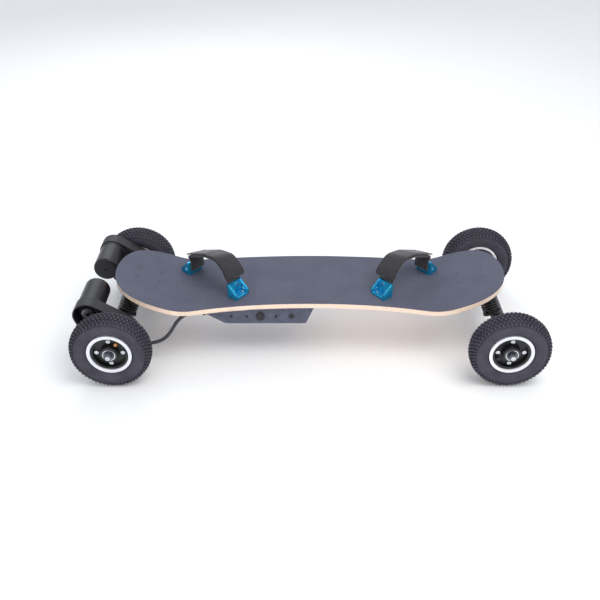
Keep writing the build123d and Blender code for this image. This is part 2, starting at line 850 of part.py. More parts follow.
gland_axes = {"near": gland_y, "far": -gland_y}
above_gasket = layer(under_gasket, -60, 160)
with BuildPart() as enclosure:
    add(tray_block(0, enclosure_half_width, 0))
    long_edges = enclosure.edges().filter_by(GeomType.LINE)
    chamfer(long_edges.filter_by(lambda edge: abs(edge.center().Z - enclosure_floor_z) < 1), 5)
    add(above_gasket, mode=Mode.SUBTRACT)
    add(tray_block(enclosure_wall, enclosure_half_width - enclosure_wall, enclosure_wall),
        mode=Mode.SUBTRACT)
    for x, radius in ((port_x, port_body_radius), (button_x, button_radius)):
        add(side_disc(x, radius + running_clearance, -enclosure_wall - 1, 1), mode=Mode.SUBTRACT)
    for y in gland_axes.values():
        with BuildSketch(Plane(origin=(gland_inner_x, y, gland_z), z_dir=(-1, 0, 0))):
            Circle(6 + running_clearance)
        extrude(amount=40, mode=Mode.SUBTRACT)
save(enclosure.part, "enclosure_shell")

with BuildPart() as gasket:
    add(layer(deck_depth, under_gasket, enclosure_half_width))
    add(tray_block(0, enclosure_half_width, 0), mode=Mode.INTERSECT)
    add(tray_block(4, enclosure_half_width - 4, 0), mode=Mode.SUBTRACT)
save(gasket.part, "enclosure_gasket")

cells = []
for column in range(5):
    for row in range(2):
        for bank in (-1, 1):
            centre = (-190 + 22 * column, enclosure_floor_z + enclosure_wall + 10.8 + 21.4 * row)
            with BuildPart() as cell:
                with BuildSketch(Plane.XZ.offset(-bank * (battery_cell_length / 2 + 2))):
                    with Locations(centre):
                        Circle(battery_cell_radius)
                extrude(amount=battery_cell_length / 2, both=True)
            cells.append(cell.part)
save(Compound(children=cells), "battery_cells")

controller_x = -50
board_z = enclosure_floor_z + enclosure_wall + 8
with BuildPart() as controller:
    with BuildSketch(Plane.XY.offset(enclosure_floor_z + enclosure_wall)):
        with Locations((controller_x, 20)):
            Rectangle(40, 110)
    extrude(amount=board_z - enclosure_floor_z - enclosure_wall)
    with BuildSketch(Plane.XY.offset(board_z)):
        with Locations((controller_x, 20)):
            Rectangle(50, 120)
    extrude(amount=1.6)
    for y in (-20, 5, 30, 55):
        with BuildSketch(Plane.XY.offset(board_z + 1.6)):
            with Locations((controller_x, y)):
                Circle(8)
        extrude(amount=25)
save(controller.part, "speed_controller")

save(side_disc(button_x, button_radius, -enclosure_wall - 2, 2.5), "power_button")

with BuildPart() as port:
    add(side_disc(port_x, port_body_radius, -16, 0))
    add(side_disc(port_x, port_body_radius + 2.5, 0, 1.5))
    add(side_disc(port_x, port_bore / 2, -12, 2), mode=Mode.SUBTRACT)
save(port.part, "charge_port")

cap_hinge_z = side_feature_z + port_body_radius + 5
with BuildPart() as cap:
    with BuildSketch(side_plane_near.offset(1.8)):
        with Locations((port_x, side_feature_z)):
            Circle(port_body_radius + 2.5)
        with Locations((port_x, (side_feature_z + cap_hinge_z) / 2 + 2)):
            Rectangle(8, cap_hinge_z - side_feature_z - 3)
    extrude(amount=2.2)
    with BuildSketch(Plane(origin=(port_x, -enclosure_half_width - 2.6, cap_hinge_z),
                           z_dir=(1, 0, 0))):
        Circle(1.8)
    extrude(amount=4, both=True)
save(cap.part, "charge_port_cap")

screws = []
screw_spots = [side_screw_x, -160, -86]
for x in screw_spots:
    screws.append(side_disc(x, 3.4, 0, 2))
for x in (-165, -111, -57):
    with BuildPart() as screw:
        with BuildSketch(side_plane_near.offset(-2 * enclosure_half_width)):
            with Locations((x, side_feature_z)):
                Circle(3.4)
        extrude(amount=-2)
    screws.append(screw.part)
save(Compound(children=screws), "enclosure_screws")

glands = []
for y in gland_axes.values():
    face = Plane(origin=(gland_inner_x, y, gland_z), z_dir=(-1, 0, 0))
    with BuildPart() as gland:
        with BuildSketch(face):
            Circle(6)
        extrude(amount=gland_length)
        with BuildSketch(face.offset(gland_length - 10)):
            RegularPolygon(9, 6)
        extrude(amount=6)
    glands.append(gland.part)
save(Compound(children=glands), "cable_glands")

# ---- motor cable: hangs from the gland under the truck up to the near motor --------------
cable_start_x = gland_inner_x - gland_length
cable_entry = (motor_x, -motor_outlet_y)
cable_points = [
    (cable_start_x, gland_y, gland_z), (-295, gland_y, gland_z), (-316, -96, 117), (-332, -106, 103), (-346, -114, 84),
    (-364, -120, 66), (-392, -124, 55), (-424, -124, 51), (-458, -123, 52), (-490, -120, 60),
    (-517, -115, 74), (-534, -109, 93), (cable_entry[0], cable_entry[1], 113),
    (cable_entry[0], cable_entry[1], motor_outlet_z)]


def bend_radii(points):
    """Arc radius at each corner of a cord: 0.45 of the shorter run over tan(half the turn)."""
    corners = [Vector(*point) for point in points]
    radii = []
    for before, at, after in zip(corners, corners[1:], corners[2:]):
        run_in = at - before
        run_out = after - at
        half_turn = radians(run_in.get_angle(run_out)) / 2
        radii.append(0.45 * min(run_in.length, run_out.length) / tan(half_turn))
    return radii


cable_radii = bend_radii(cable_points)
print("cable bend radii", [round(radius, 1) for radius in cable_radii])
with BuildPart() as cable:
    with BuildLine() as cable_path:
        FilletPolyline(*cable_points, radius=cable_radii)
    path_wire = cable_path.wire()
    with BuildSketch(Plane(origin=path_wire @ 0, z_dir=path_wire % 0)):
        Circle(cable_diameter / 2)
    sweep(path=path_wire)
print("cable length", round(path_wire.length, 1), "volume check",
      round(cable.part.volume / (pi * cable_diameter ** 2 / 4 * path_wire.length), 4))
save(cable.part, "motor_cable")


# ---- foot bindings ---------------------------------------------------------------------
strap_leg_x = strap_half_span - strap_thickness / 2
strap_leg_top = 50
binding_screws = [(13, -8), (27, 8)]    # height, and place across the upright
gusset_thickness = 5
gusset_toe = 14             # height of the gusset at its outer end
window_base = 11


def bracket(plane, side):
    """Machined bracket: foot, upright and two pierced gussets, shaped to the deck below."""
    face = side * strap_half_span
    outer = side * (strap_half_span + bracket_depth)
    upright_outer = side * (strap_half_span + upright_thickness)
    half_width = bracket_width / 2
    with BuildPart() as body:
        with BuildSketch(plane.offset(-4)):
            with Locations(((face + outer) / 2, 0)):
                Rectangle(bracket_depth, bracket_width)
        extrude(amount=4 + bracket_foot)
        with BuildSketch(plane):
            with Locations(((face + upright_outer) / 2, 0)):
                Rectangle(upright_thickness, bracket_width)
        extrude(amount=bracket_height)
        for y in (-half_width, half_width - gusset_thickness):
            upright_plane = Plane(origin=plane.from_local_coords((0, y, 0)), x_dir=plane.x_dir,
                                  z_dir=plane.y_dir)
            with BuildSketch(upright_plane):
                with BuildLine():
                    Polyline((face, 0), (outer, 0), (outer, -gusset_toe),
                             (upright_outer, -bracket_height), (face, -bracket_height), close=True)
                make_face()
                with BuildLine():
                    Polyline((upright_outer + side * 3, -window_base),
                             (outer - side * 7, -window_base),
                             (upright_outer + side * 3, -bracket_height + 12), close=True)
                make_face(mode=Mode.SUBTRACT)
            extrude(amount=gusset_thickness)
        add(board_block, mode=Mode.SUBTRACT)
        with BuildSketch(plane.offset(-6)):
            with Locations((side * binding_bolt_x, 0)):
                with GridLocations(0, binding_bolt_spacing, 1, 2):
                    Circle(binding_bolt_diameter / 2 + bolt_clearance)
        extrude(amount=30, mode=Mode.SUBTRACT)
    return body.part


def strap_frame(plane, hand):
    """Upright plane through the strap's middle line, and the direction of its cross lines."""
    run = (plane.x_dir - plane.y_dir * (strap_drift * hand)).normalized()
    upright = Plane(origin=plane.from_local_coords((0, hand * strap_drift * 50, 0)), x_dir=run,
                    z_dir=run.cross(plane.z_dir))
    cross_line = plane.x_dir * strap_skew + plane.y_dir * hand
    return upright, cross_line


def strap_layer(plane, hand, points, radius, inner, outer):
    """A layer of the strap between two distances outside its middle path, cut on the skew."""
    upright, cross_line = strap_frame(plane, hand)
    with BuildSketch(upright) as section:
        with BuildLine() as path:
            FilletPolyline(*points, radius=radius)
        trace(path.line, 2 * outer)
        if inner > 0:
            trace(path.line, 2 * inner, mode=Mode.SUBTRACT)
    face = sorted(section.sketch.faces(), key=lambda piece: piece.center().Z)[-1]
    return extrude(face, amount=strap_width / 2 * cross_line.length, dir=cross_line.normalized(),
                   both=True)


def strap_leg(plane, hand, side):
    """The strap's end, flat against the bracket's upright."""
    with BuildPart() as leg:
        with BuildSketch(plane.offset(10)):
            with Locations((side * strap_leg_x, hand * strap_drift * (50 - side * strap_leg_x))):
                Rectangle(strap_thickness, strap_width)
        extrude(amount=strap_leg_top - 10)
    return leg.part


strap_slope = [(-2, strap_crown - 6), (45, strap_crown), (strap_leg_x, strap_crown - 24)]
strap_slope_radii = [60, 30, 20]
band_path = [(-strap_leg_x, 42), (-strap_leg_x, strap_crown - 34), *strap_slope, (strap_leg_x, 42)]
flap_path = [(-strap_leg_x - 2, strap_crown - 34.8), *strap_slope, (strap_leg_x, 46)]
bracket_parts = []
screw_parts = []
for end, plane in binding_planes.items():
    hand = binding_hand[end]
    for side in (1, -1):
        stand = Plane(origin=plane.from_local_coords((0, bracket_shift(end, side), 0)),
                      x_dir=plane.x_dir, z_dir=plane.z_dir)
        bracket_parts.append(bracket(stand, side))
        outward = Plane(origin=stand.from_local_coords((side * (strap_half_span + upright_thickness),
                                                        0, 0)),
                        x_dir=stand.y_dir, z_dir=stand.x_dir * side)
        for height, place in binding_screws:
            with BuildPart() as head:
                with BuildSketch(outward):
                    with Locations((hand * place, side * height)):
                        Circle(4.5)
                extrude(amount=3)
            screw_parts.append(head.part)
        with BuildPart() as bolts:
            with BuildSketch(stand.offset(bracket_foot)):
                with Locations((side * binding_bolt_x, 0)):
                    with GridLocations(0, binding_bolt_spacing, 1, 2):
                        Circle(5)
            extrude(amount=3)
            with BuildSketch(stand.offset(bracket_foot)):
                with Locations((side * binding_bolt_x, 0)):
                    with GridLocations(0, binding_bolt_spacing, 1, 2):
                        Circle(binding_bolt_diameter / 2)
            extrude(amount=-bracket_foot - deck_depth - 2)
        screw_parts.extend(bolts.part.solids())
    with BuildPart() as band:
        add(strap_layer(plane, hand, band_path, [12, *strap_slope_radii], 0, strap_thickness / 2))
        for side in (1, -1):
            add(strap_leg(plane, hand, side))
    flap_inner = strap_thickness / 2 + 0.2
    flap = strap_layer(plane, hand, flap_path, strap_slope_radii, flap_inner,
                       flap_inner + flap_thickness)
    save(Compound(children=[band.part.solid(), flap.solid()]), f"{end}_foot_strap")
save(Compound(children=bracket_parts), "binding_brackets")
save(Compound(children=screw_parts), "binding_screws")
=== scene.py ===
import json
import math
import bpy
import bmesh
from bpy.props import FloatProperty, FloatVectorProperty, IntProperty, PointerProperty
from mathutils import Matrix, Vector, noise

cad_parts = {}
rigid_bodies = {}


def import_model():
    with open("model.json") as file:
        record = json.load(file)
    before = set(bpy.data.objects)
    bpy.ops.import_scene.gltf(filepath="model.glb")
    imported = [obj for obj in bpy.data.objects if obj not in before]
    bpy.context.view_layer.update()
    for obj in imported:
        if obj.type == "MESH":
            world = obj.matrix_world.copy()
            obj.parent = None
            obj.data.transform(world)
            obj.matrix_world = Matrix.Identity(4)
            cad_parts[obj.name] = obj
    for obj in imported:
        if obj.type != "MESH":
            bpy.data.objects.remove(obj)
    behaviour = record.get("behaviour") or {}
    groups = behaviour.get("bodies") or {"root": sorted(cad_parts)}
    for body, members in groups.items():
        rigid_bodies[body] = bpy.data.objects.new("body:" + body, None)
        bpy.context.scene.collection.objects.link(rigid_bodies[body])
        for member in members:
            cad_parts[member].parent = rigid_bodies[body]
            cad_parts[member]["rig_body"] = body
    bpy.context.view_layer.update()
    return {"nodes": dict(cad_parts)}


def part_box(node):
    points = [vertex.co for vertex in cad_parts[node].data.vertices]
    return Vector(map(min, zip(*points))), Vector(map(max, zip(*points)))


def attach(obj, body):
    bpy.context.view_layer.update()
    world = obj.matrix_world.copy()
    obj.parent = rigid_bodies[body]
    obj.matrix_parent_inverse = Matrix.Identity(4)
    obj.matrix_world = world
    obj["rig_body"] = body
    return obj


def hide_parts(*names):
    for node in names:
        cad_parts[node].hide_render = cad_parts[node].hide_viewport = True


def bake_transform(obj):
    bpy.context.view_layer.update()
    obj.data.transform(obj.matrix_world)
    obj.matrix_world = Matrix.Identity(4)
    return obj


bl_info = {
    "name": "Electric skateboard finish",
    "version": (1, 0, 0),
    "blender": (4, 5, 0),
    "location": "3D View > Sidebar > Skateboard",
    "description": "Builds the visible pieces of an off-road electric skateboard round its packed frame",
    "category": "Object",
}

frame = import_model()

MM = 0.001
ENDS = {"front": 1, "rear": -1}
HANDS = {"left": 1, "right": -1}
WHEELS = [f"{end}_{hand}" for end in ENDS for hand in HANDS]


# ---- colours and node helper -----------------------------------------------------------
def linear(code, alpha=1.0):
    """An sRGB hex colour as linear light, with alpha; a colour setting is linear already."""
    if not isinstance(code, str):
        return (*code, alpha)
    channels = [int(code[start:start + 2], 16) / 255 for start in (0, 2, 4)]
    lit = [c / 12.92 if c <= 0.04045 else ((c + 0.055) / 1.055) ** 2.4 for c in channels]
    return (*lit, alpha)


def add_node(tree, kind, inputs=None, **settings):
    """Add one node with its settings; an input is a value or another node's output."""
    new = tree.nodes.new(kind)
    for name, value in settings.items():
        setattr(new, name, value)
    for key, value in (inputs or {}).items():
        if isinstance(value, bpy.types.NodeSocket):
            tree.links.new(value, new.inputs[key])
        else:
            new.inputs[key].default_value = value
    return new


def per_metre(size_mm):
    """Texture scale on object coordinates for a grain of this size."""
    return 1000 / size_mm


def wave_scale(period_mm):
    """Scale of a wave texture whose bands repeat at this distance; at scale 1 it is 2 pi / 20 m."""
    return per_metre(period_mm) * 2 * math.pi / 20


def start_material(name, **constants):
    """A material with one Principled shader, whose constant values are set directly."""
    material = bpy.data.materials.new(name)
    material.use_nodes = True
    tree = material.node_tree
    tree.nodes.clear()
    shader = add_node(tree, "ShaderNodeBsdfPrincipled")
    for key, value in constants.items():
        shader.inputs[key.replace("_", " ")].default_value = value
    add_node(tree, "ShaderNodeOutputMaterial", {"Surface": shader.outputs["BSDF"]})
    return material, tree, shader


def surface(tree, shader, colour, bump, roughness):
    """Link a colour and a bump to the shader and set its roughness, a value or an output."""
    tree.links.new(colour.outputs[2], shader.inputs["Base Color"])
    tree.links.new(bump.outputs["Normal"], shader.inputs["Normal"])
    if isinstance(roughness, bpy.types.NodeSocket):
        tree.links.new(roughness, shader.inputs["Roughness"])
    else:
        shader.inputs["Roughness"].default_value = roughness


PATCH_GRAINS = 18          # size of the cloudy patches, in grains


def grained(name, dark, light, grain_mm, roughness, bump_mm, stretch=(1, 1, 1), **constants):
    """A solid finish with fine grain: colour, roughness and bump follow one noise."""
    material, tree, shader = start_material(name, **constants)
    place = add_node(tree, "ShaderNodeTexCoord")
    scaled = add_node(tree, "ShaderNodeMapping", {"Vector": place.outputs["Object"], "Scale": stretch})
    grain = add_node(tree, "ShaderNodeTexNoise", {
        "Vector": scaled.outputs["Vector"], "Scale": per_metre(grain_mm), "Detail": 4.0,
        "Roughness": 0.6})
    patches = add_node(tree, "ShaderNodeTexNoise", {
        "Vector": place.outputs["Object"], "Scale": per_metre(grain_mm * PATCH_GRAINS),
        "Detail": 3.0})
    blend = add_node(tree, "ShaderNodeMath", {0: grain.outputs["Fac"], 1: patches.outputs["Fac"]},
                     operation="MULTIPLY")
    spread = add_node(tree, "ShaderNodeMapRange", {
        "Value": blend.outputs["Value"], "From Min": 0.12, "From Max": 0.4})
    colour = add_node(tree, "ShaderNodeMix", {
        0: spread.outputs["Result"], 6: linear(dark), 7: linear(light)}, data_type="RGBA")
    sheen = add_node(tree, "ShaderNodeMapRange", {
        "Value": grain.outputs["Fac"], "To Min": roughness[0], "To Max": roughness[1]})
    bump = add_node(tree, "ShaderNodeBump", {
        "Height": grain.outputs["Fac"], "Distance": bump_mm * MM, "Strength": 0.8})
    surface(tree, shader, colour, bump, sheen.outputs["Result"])
    return material


# ---- materials -------------------------------------------------------------------------
PLIES = 7.0                # veneers pressed into the deck


def maple_ply():
    """Pressed maple plywood under clear lacquer: thin dark glue lines along the cut edge."""
    material, tree, shader = start_material("maple_plywood_lacquered", Coat_Weight=0.35,
                                            Coat_Roughness=0.25)
    place = add_node(tree, "ShaderNodeTexCoord")
    depth = add_node(tree, "ShaderNodeAttribute", attribute_name="ply_depth")
    along = add_node(tree, "ShaderNodeMapping", {
        "Vector": place.outputs["Object"], "Scale": (6.0, 90.0, 90.0)})
    grain = add_node(tree, "ShaderNodeTexNoise", {
        "Vector": along.outputs["Vector"], "Scale": 4.0, "Detail": 6.0, "Roughness": 0.65})
    plies = add_node(tree, "ShaderNodeMath", {0: depth.outputs["Fac"], 1: PLIES},
                     operation="MULTIPLY")
    wavy = add_node(tree, "ShaderNodeMath", {0: plies.outputs["Value"], 1: 1.0}, operation="MODULO")
    line = add_node(tree, "ShaderNodeMapRange", {
        "Value": wavy.outputs["Value"], "From Min": 0.0, "From Max": 0.22, "To Min": 1.0,
        "To Max": 0.0})
    ply_number = add_node(tree, "ShaderNodeMath", {0: plies.outputs["Value"]}, operation="FLOOR")
    odd = add_node(tree, "ShaderNodeMath", {0: ply_number.outputs["Value"], 1: 2.0},
                   operation="MODULO")
    veneer = add_node(tree, "ShaderNodeMix", {
        0: odd.outputs["Value"], 6: linear("f7e4d4"), 7: linear("ebcdb4")}, data_type="RGBA")
    grained_colour = add_node(tree, "ShaderNodeMix", {
        0: grain.outputs["Fac"], 6: veneer.outputs[2], 7: linear("f3dac4")}, data_type="RGBA")
    strength = add_node(tree, "ShaderNodeMath", {0: line.outputs["Result"], 1: 0.55},
                        operation="MULTIPLY")
    colour = add_node(tree, "ShaderNodeMix", {
        0: strength.outputs["Value"], 6: grained_colour.outputs[2], 7: linear("c4977a")},
        data_type="RGBA")
    bump = add_node(tree, "ShaderNodeBump", {
        "Height": grain.outputs["Fac"], "Distance": 0.05 * MM, "Strength": 0.5})
    surface(tree, shader, colour, bump, 0.42)
    return material


def grip_tape():
    """Grit bonded to the deck: matt, with sparse painted glints on the grit and faint scuffs; drawn as
    1.4 mm grains, coarser than the real half-millimetre grit, so that they show."""
    material, tree, shader = start_material("grip_tape_grit", Specular_IOR_Level=0.35)
    place = add_node(tree, "ShaderNodeTexCoord")
    grit = add_node(tree, "ShaderNodeTexVoronoi", {
        "Vector": place.outputs["Object"], "Scale": per_metre(1.4)})
    clouds = add_node(tree, "ShaderNodeTexNoise", {
        "Vector": place.outputs["Object"], "Scale": per_metre(60), "Detail": 5.0})
    fleck = add_node(tree, "ShaderNodeTexNoise", {
        "Vector": place.outputs["Object"], "Scale": per_metre(2.5), "Detail": 2.0})
    base = add_node(tree, "ShaderNodeMix", {
        0: clouds.outputs["Fac"], 6: linear("4b4d5e"), 7: linear(setting("colours").grip)},
        data_type="RGBA")
    # painted glints: sparse lighter flecks in the grit's colour stand in for light glinting off its
    # grains
    painted_glints = add_node(tree, "ShaderNodeMapRange", {
        "Value": fleck.outputs["Fac"], "From Min": 0.55, "From Max": 0.85, "To Max": 0.35})
    colour = add_node(tree, "ShaderNodeMix", {
        0: painted_glints.outputs["Result"], 6: base.outputs[2], 7: linear("868a9c")}, data_type="RGBA")
    bump = add_node(tree, "ShaderNodeBump", {
        "Height": grit.outputs["Distance"], "Distance": 0.35 * MM, "Strength": 0.7})
    surface(tree, shader, colour, bump, 0.88)
    return material


def webbing(name, dark, light):
    """Woven nylon: crossing threads along the band's UV, drawn 3.2 mm apart so that they show; a painted
    highlight makes the colour lighter on the thread crests.
    """
    material, tree, shader = start_material(name, Sheen_Weight=0.35, Sheen_Roughness=0.5)
    place = add_node(tree, "ShaderNodeUVMap", uv_map="UVMap")
    warp = add_node(tree, "ShaderNodeTexWave", {
        "Vector": place.outputs["UV"], "Scale": wave_scale(3.2)}, bands_direction="X")
    weft = add_node(tree, "ShaderNodeTexWave", {
        "Vector": place.outputs["UV"], "Scale": wave_scale(3.2)}, bands_direction="Y")
    threads = add_node(tree, "ShaderNodeMath", {0: warp.outputs["Fac"], 1: weft.outputs["Fac"]},
                       operation="MULTIPLY")
    fuzz = add_node(tree, "ShaderNodeTexNoise", {
        "Vector": place.outputs["UV"], "Scale": per_metre(12), "Detail": 5.0})
    mixed = add_node(tree, "ShaderNodeMath", {0: threads.outputs["Value"], 1: fuzz.outputs["Fac"]},
                     operation="ADD")
    # painted highlight and shade: lighter on the crests of the threads, darker between them, mixed with
    # random fuzz
    crest_highlight_and_fuzz = add_node(tree, "ShaderNodeMapRange", {
        "Value": mixed.outputs["Value"], "From Min": 0.3, "From Max": 1.4})
    colour = add_node(tree, "ShaderNodeMix", {
        0: crest_highlight_and_fuzz.outputs["Result"], 6: linear(dark), 7: linear(light)}, data_type="RGBA")
    bump = add_node(tree, "ShaderNodeBump", {
        "Height": threads.outputs["Value"], "Distance": 0.3 * MM, "Strength": 0.6})
    surface(tree, shader, colour, bump, 0.82)
    return material


def braid(name, dark, light):
    """Braided cable sleeve: crossing diagonal bands on the tube's UV, drawn 2.9 mm apart."""
    material, tree, shader = start_material(name, Specular_IOR_Level=0.4)
    place = add_node(tree, "ShaderNodeUVMap", uv_map="UVMap")
    crossing = []
    for turn in (0.8, -0.8):
        turned = add_node(tree, "ShaderNodeMapping", {
            "Vector": place.outputs["UV"], "Rotation": (0, 0, turn)})
        crossing.append(add_node(tree, "ShaderNodeTexWave", {
            "Vector": turned.outputs["Vector"], "Scale": wave_scale(2.856)}).outputs["Fac"])
    woven = add_node(tree, "ShaderNodeMath", {0: crossing[0], 1: crossing[1]}, operation="MAXIMUM")
    colour = add_node(tree, "ShaderNodeMix", {
        0: woven.outputs["Value"], 6: linear(dark), 7: linear(light)}, data_type="RGBA")
    bump = add_node(tree, "ShaderNodeBump", {
        "Height": woven.outputs["Value"], "Distance": 0.2 * MM, "Strength": 0.6})
    surface(tree, shader, colour, bump, 0.62)
    return material


def all_materials():
    """Every finish of the board, by a short name."""
    return {
        "ply": maple_ply(),
        "grip": grip_tape(),
        # vulcanised rubber: dull, with a dusty bloom; the tread blocks are a little darker
        "tyre": grained("vulcanised_rubber", "2d2b36", "444250", 2.2, (0.62, 0.8), 0.12),
        "tread": grained("vulcanised_rubber_tread", "2a2933", "413f4e", 1.6, (0.58, 0.75), 0.15),
        # stoved enamel on steel: near white, smooth, with a light orange peel
        "rim": grained("silver_white_enamel", "dedee6", "f1f1f6", 3.0, (0.28, 0.4), 0.02,
                       Coat_Weight=0.3),
        # glass-filled nylon: black, satin, faintly mottled from the mould
        "hub": grained("glass_filled_nylon", "0e0e11", "1d1d22", 1.2, (0.35, 0.5), 0.06),
        # turned carbon steel: grey, with faint tool marks
        "steel": grained("turned_steel", "5b5d63", "7e8188", 1.0, (0.28, 0.4), 0.01, Metallic=1.0),
        # stage: matt white paper
        "backdrop": grained("matt_paper", "f7f8fa", "fafbfc", 40.0, (0.85, 0.95), 0.0),
        # bright zinc plate on steel: clean and slightly soft in its reflections
        "zinc": grained("zinc_plated_steel", "c3c6cd", "d9dce2", 1.5, (0.2, 0.3), 0.005,
                        Metallic=1.0),
        # satin powder coat: fine orange peel
        "powder": grained("black_powder_coat", "121215", "1f1f24", 1.1, (0.38, 0.52), 0.08),
        # black anodised aluminium: satin metal, fine turning marks
        "motor": grained("black_anodised_aluminium", "0f0f13", "1f1f26", 0.8, (0.3, 0.42), 0.03,
                         stretch=(1, 0.15, 1), Metallic=0.25),
        # coated spring steel: satin black, so that the turns show only by their edges
        "spring": grained("coated_spring_steel", "060608", "101013", 1.5, (0.34, 0.46), 0.03),
        # textured ABS housing: slate grey, spark-eroded texture
        "housing": grained("textured_ABS", "444757", "585c70", 1.0, (0.55, 0.7), 0.12),
        # injection moulded nylon: black with a soft shine
        "nylon": grained("moulded_black_nylon", "131317", "212127", 0.9, (0.42, 0.58), 0.06),
        # closed-cell foam strip: matt and pitted
        "foam": grained("closed_cell_foam", "141416", "232326", 0.8, (0.85, 0.95), 0.2),
        # shrink film over the cells: glossy blue
        "cells": grained("heat_shrink_film", "1c4f8c", "2a66ab", 4.0, (0.25, 0.35), 0.02),
        # lacquered circuit board: green, half glossy
        "board": grained("epoxy_circuit_board", "0d4a2c", "176b41", 2.0, (0.35, 0.5), 0.05),
        # anodised with a cyan dye: bright metal with a machined grain
        "anodised": grained("blue_anodised_aluminium", "1290c6", setting("colours").bracket, 1.2,
                            (0.24, 0.34), 0.012, stretch=(1, 1, 0.3), Metallic=0.75),
        # moulded neoprene: dull black
        "belt": grained("neoprene_belt", "141414", "222222", 1.0, (0.6, 0.75), 0.1),
        # woven and knitted nylon: dark and soft, with a painted highlight along the crests of the weave
        "strap": webbing("woven_nylon_webbing", "1b1a20", "2e2c34"),
        "lining": webbing("knitted_nylon_lining", "1b1a1f", "302f35"),
        "binding": webbing("nylon_binding_tape", "17161a", "2b2a30"),
        # braided polyester: dark grey with a lighter lattice
        "sleeve": braid("braided_cable_sleeve", "28282e", "4a4a52"),
        # turned brass: warm, half bright
        "brass": grained("valve_brass", "a8703a", "d9a066", 1.0, (0.25, 0.4), 0.03, Metallic=0.9),
        # bonded polyester thread: dull, close to the strap's colour
        "thread": grained("bonded_thread", "24232a", "3b3942", 0.4, (0.6, 0.8), 0.05),
    }


FINISH = {}


# ---- mesh helpers ------------------------------------------------------------------------
def in_scene(name, data):
    """A new object with this data, linked to the scene."""
    piece = bpy.data.objects.new(name, data)
    bpy.context.scene.collection.objects.link(piece)
    return piece


def publish(mesh_builder, name, finishes, smooth_angle=35):
    """Turn a bmesh into an object in the scene, with its finishes and smooth shading."""
    bmesh.ops.recalc_face_normals(mesh_builder, faces=mesh_builder.faces)
    mesh = bpy.data.meshes.new(name)
    mesh_builder.to_mesh(mesh)
    mesh_builder.free()
    for finish in finishes:
        mesh.materials.append(FINISH[finish])
    smooth(mesh, smooth_angle)
    return in_scene(name, mesh)


def smooth(mesh, angle=35):
    """Shade smooth, with the edges sharper than an angle kept crisp."""
    mesh.polygons.foreach_set("use_smooth", [True] * len(mesh.polygons))
    mesh.set_sharp_from_angle(angle=math.radians(angle))


def plain_mesh(piece):
    """Replace a piece's live modifiers by their result."""
    bpy.context.view_layer.update()
    evaluated = piece.evaluated_get(bpy.context.evaluated_depsgraph_get())
    result = bpy.data.meshes.new_from_object(evaluated)
    piece.modifiers.clear()
    piece.data = result
    return piece


def finish_piece(piece, body, slot, *nodes):
    """Hang a finished piece on its body and hide the nodes it stands for; the slot is not used."""
    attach(piece, body)
    if nodes:
        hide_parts(*nodes)


def repaint(node, finish):
    """Give a carried-over node its finish."""
    piece = frame["nodes"][node]
    piece.data.materials.clear()
    piece.data.materials.append(FINISH[finish])


def refined(node, finish, bevel_mm, slot):
    """A copy of a node with merged faces and small rounded edges, standing for that node."""
    source = frame["nodes"][node]
    shape = bmesh.new()
    shape.from_mesh(source.data)
    bmesh.ops.remove_doubles(shape, verts=shape.verts, dist=0.01 * MM)
    bmesh.ops.dissolve_limit(shape, angle_limit=math.radians(0.5), verts=shape.verts,
                             edges=shape.edges)
    piece = publish(shape, node + "_finished", [finish])
    bevel = piece.modifiers.new("edges", "BEVEL")
    bevel.width = bevel_mm * MM
    bevel.segments = 2
    bevel.limit_method = "ANGLE"
    bevel.angle_limit = math.radians(38)
    plain_mesh(piece)
    smooth(piece.data, 40)
    finish_piece(piece, source["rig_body"], slot, node)
    return piece


def lathe(profile, steps, centre, outward):
    """Revolve a closed (radius, distance) profile about the axle; distance runs outwards."""
    shape = bmesh.new()
    rings = []
    for step in range(steps):
        turn = 2 * math.pi * step / steps
        rings.append([shape.verts.new(centre + Vector((radius * math.cos(turn), outward * along,
                                                       radius * math.sin(turn))))
                      for radius, along in profile])
    count = len(profile)
    for step in range(steps):
        here, there = rings[step], rings[(step + 1) % steps]
        for point in range(count):
            after = (point + 1) % count
            shape.faces.new((here[point], here[after], there[after], there[point]))
    return shape


def rounded_path(points, radii, step):
    """Points along straight runs with rounded corners, about a step apart."""
    corners = [Vector(point) for point in points]
    path = [corners[0]]
    for before, at, after, radius in zip(corners, corners[1:], corners[2:], radii):
        arrive = (at - before).normalized()
        leave = (after - at).normalized()
        turn = arrive.angle(leave)
        cut = radius * math.tan(turn / 2)
        first = at - arrive * cut
        last = at + leave * cut
        centre = at + (leave - arrive).normalized() * (radius / math.cos(turn / 2))
        pieces = max(2, round(radius * turn / step))
        for piece in range(pieces + 1):
            share = piece / pieces
            chord = first.lerp(last, share) - centre
            path.append(centre + chord.normalized() * radius)
    path.append(corners[-1])
    spaced = [path[0]]
    for point in path[1:]:
        gap = (point - spaced[-1]).length
        pieces = max(1, round(gap / step))
        start = spaced[-1]
        for piece in range(1, pieces + 1):
            spaced.append(start.lerp(point, piece / pieces))
    return spaced


def joined(main, extra):
    """Add another mesh object's mesh to the main piece and drop the extra object."""
    shape = bmesh.new()
    shape.from_mesh(main.data)
    slots = len(main.data.materials)
    before = len(shape.faces)
    shape.from_mesh(extra.data)
    shape.faces.ensure_lookup_table()
    for face in shape.faces[before:]:
        face.material_index += slots
    shape.to_mesh(main.data)
    shape.free()
    for material in extra.data.materials:
        main.data.materials.append(material)
    bpy.data.objects.remove(extra)


# ---- geometry node trees -----------------------------------------------------------------
def tree_with(name, sockets):
    """A geometry node tree with named inputs, a finish and a geometry output."""
    tree = bpy.data.node_groups.new(name, "GeometryNodeTree")
    tree.is_modifier = True
    tree.interface.new_socket("Geometry", in_out="INPUT", socket_type="NodeSocketGeometry")
    for label, kind in sockets:
        tree.interface.new_socket(label, in_out="INPUT", socket_type="NodeSocket" + kind)
    tree.interface.new_socket("Finish", in_out="INPUT", socket_type="NodeSocketMaterial")
    tree.interface.new_socket("Geometry", in_out="OUTPUT", socket_type="NodeSocketGeometry")
    return tree, add_node(tree, "NodeGroupInput")


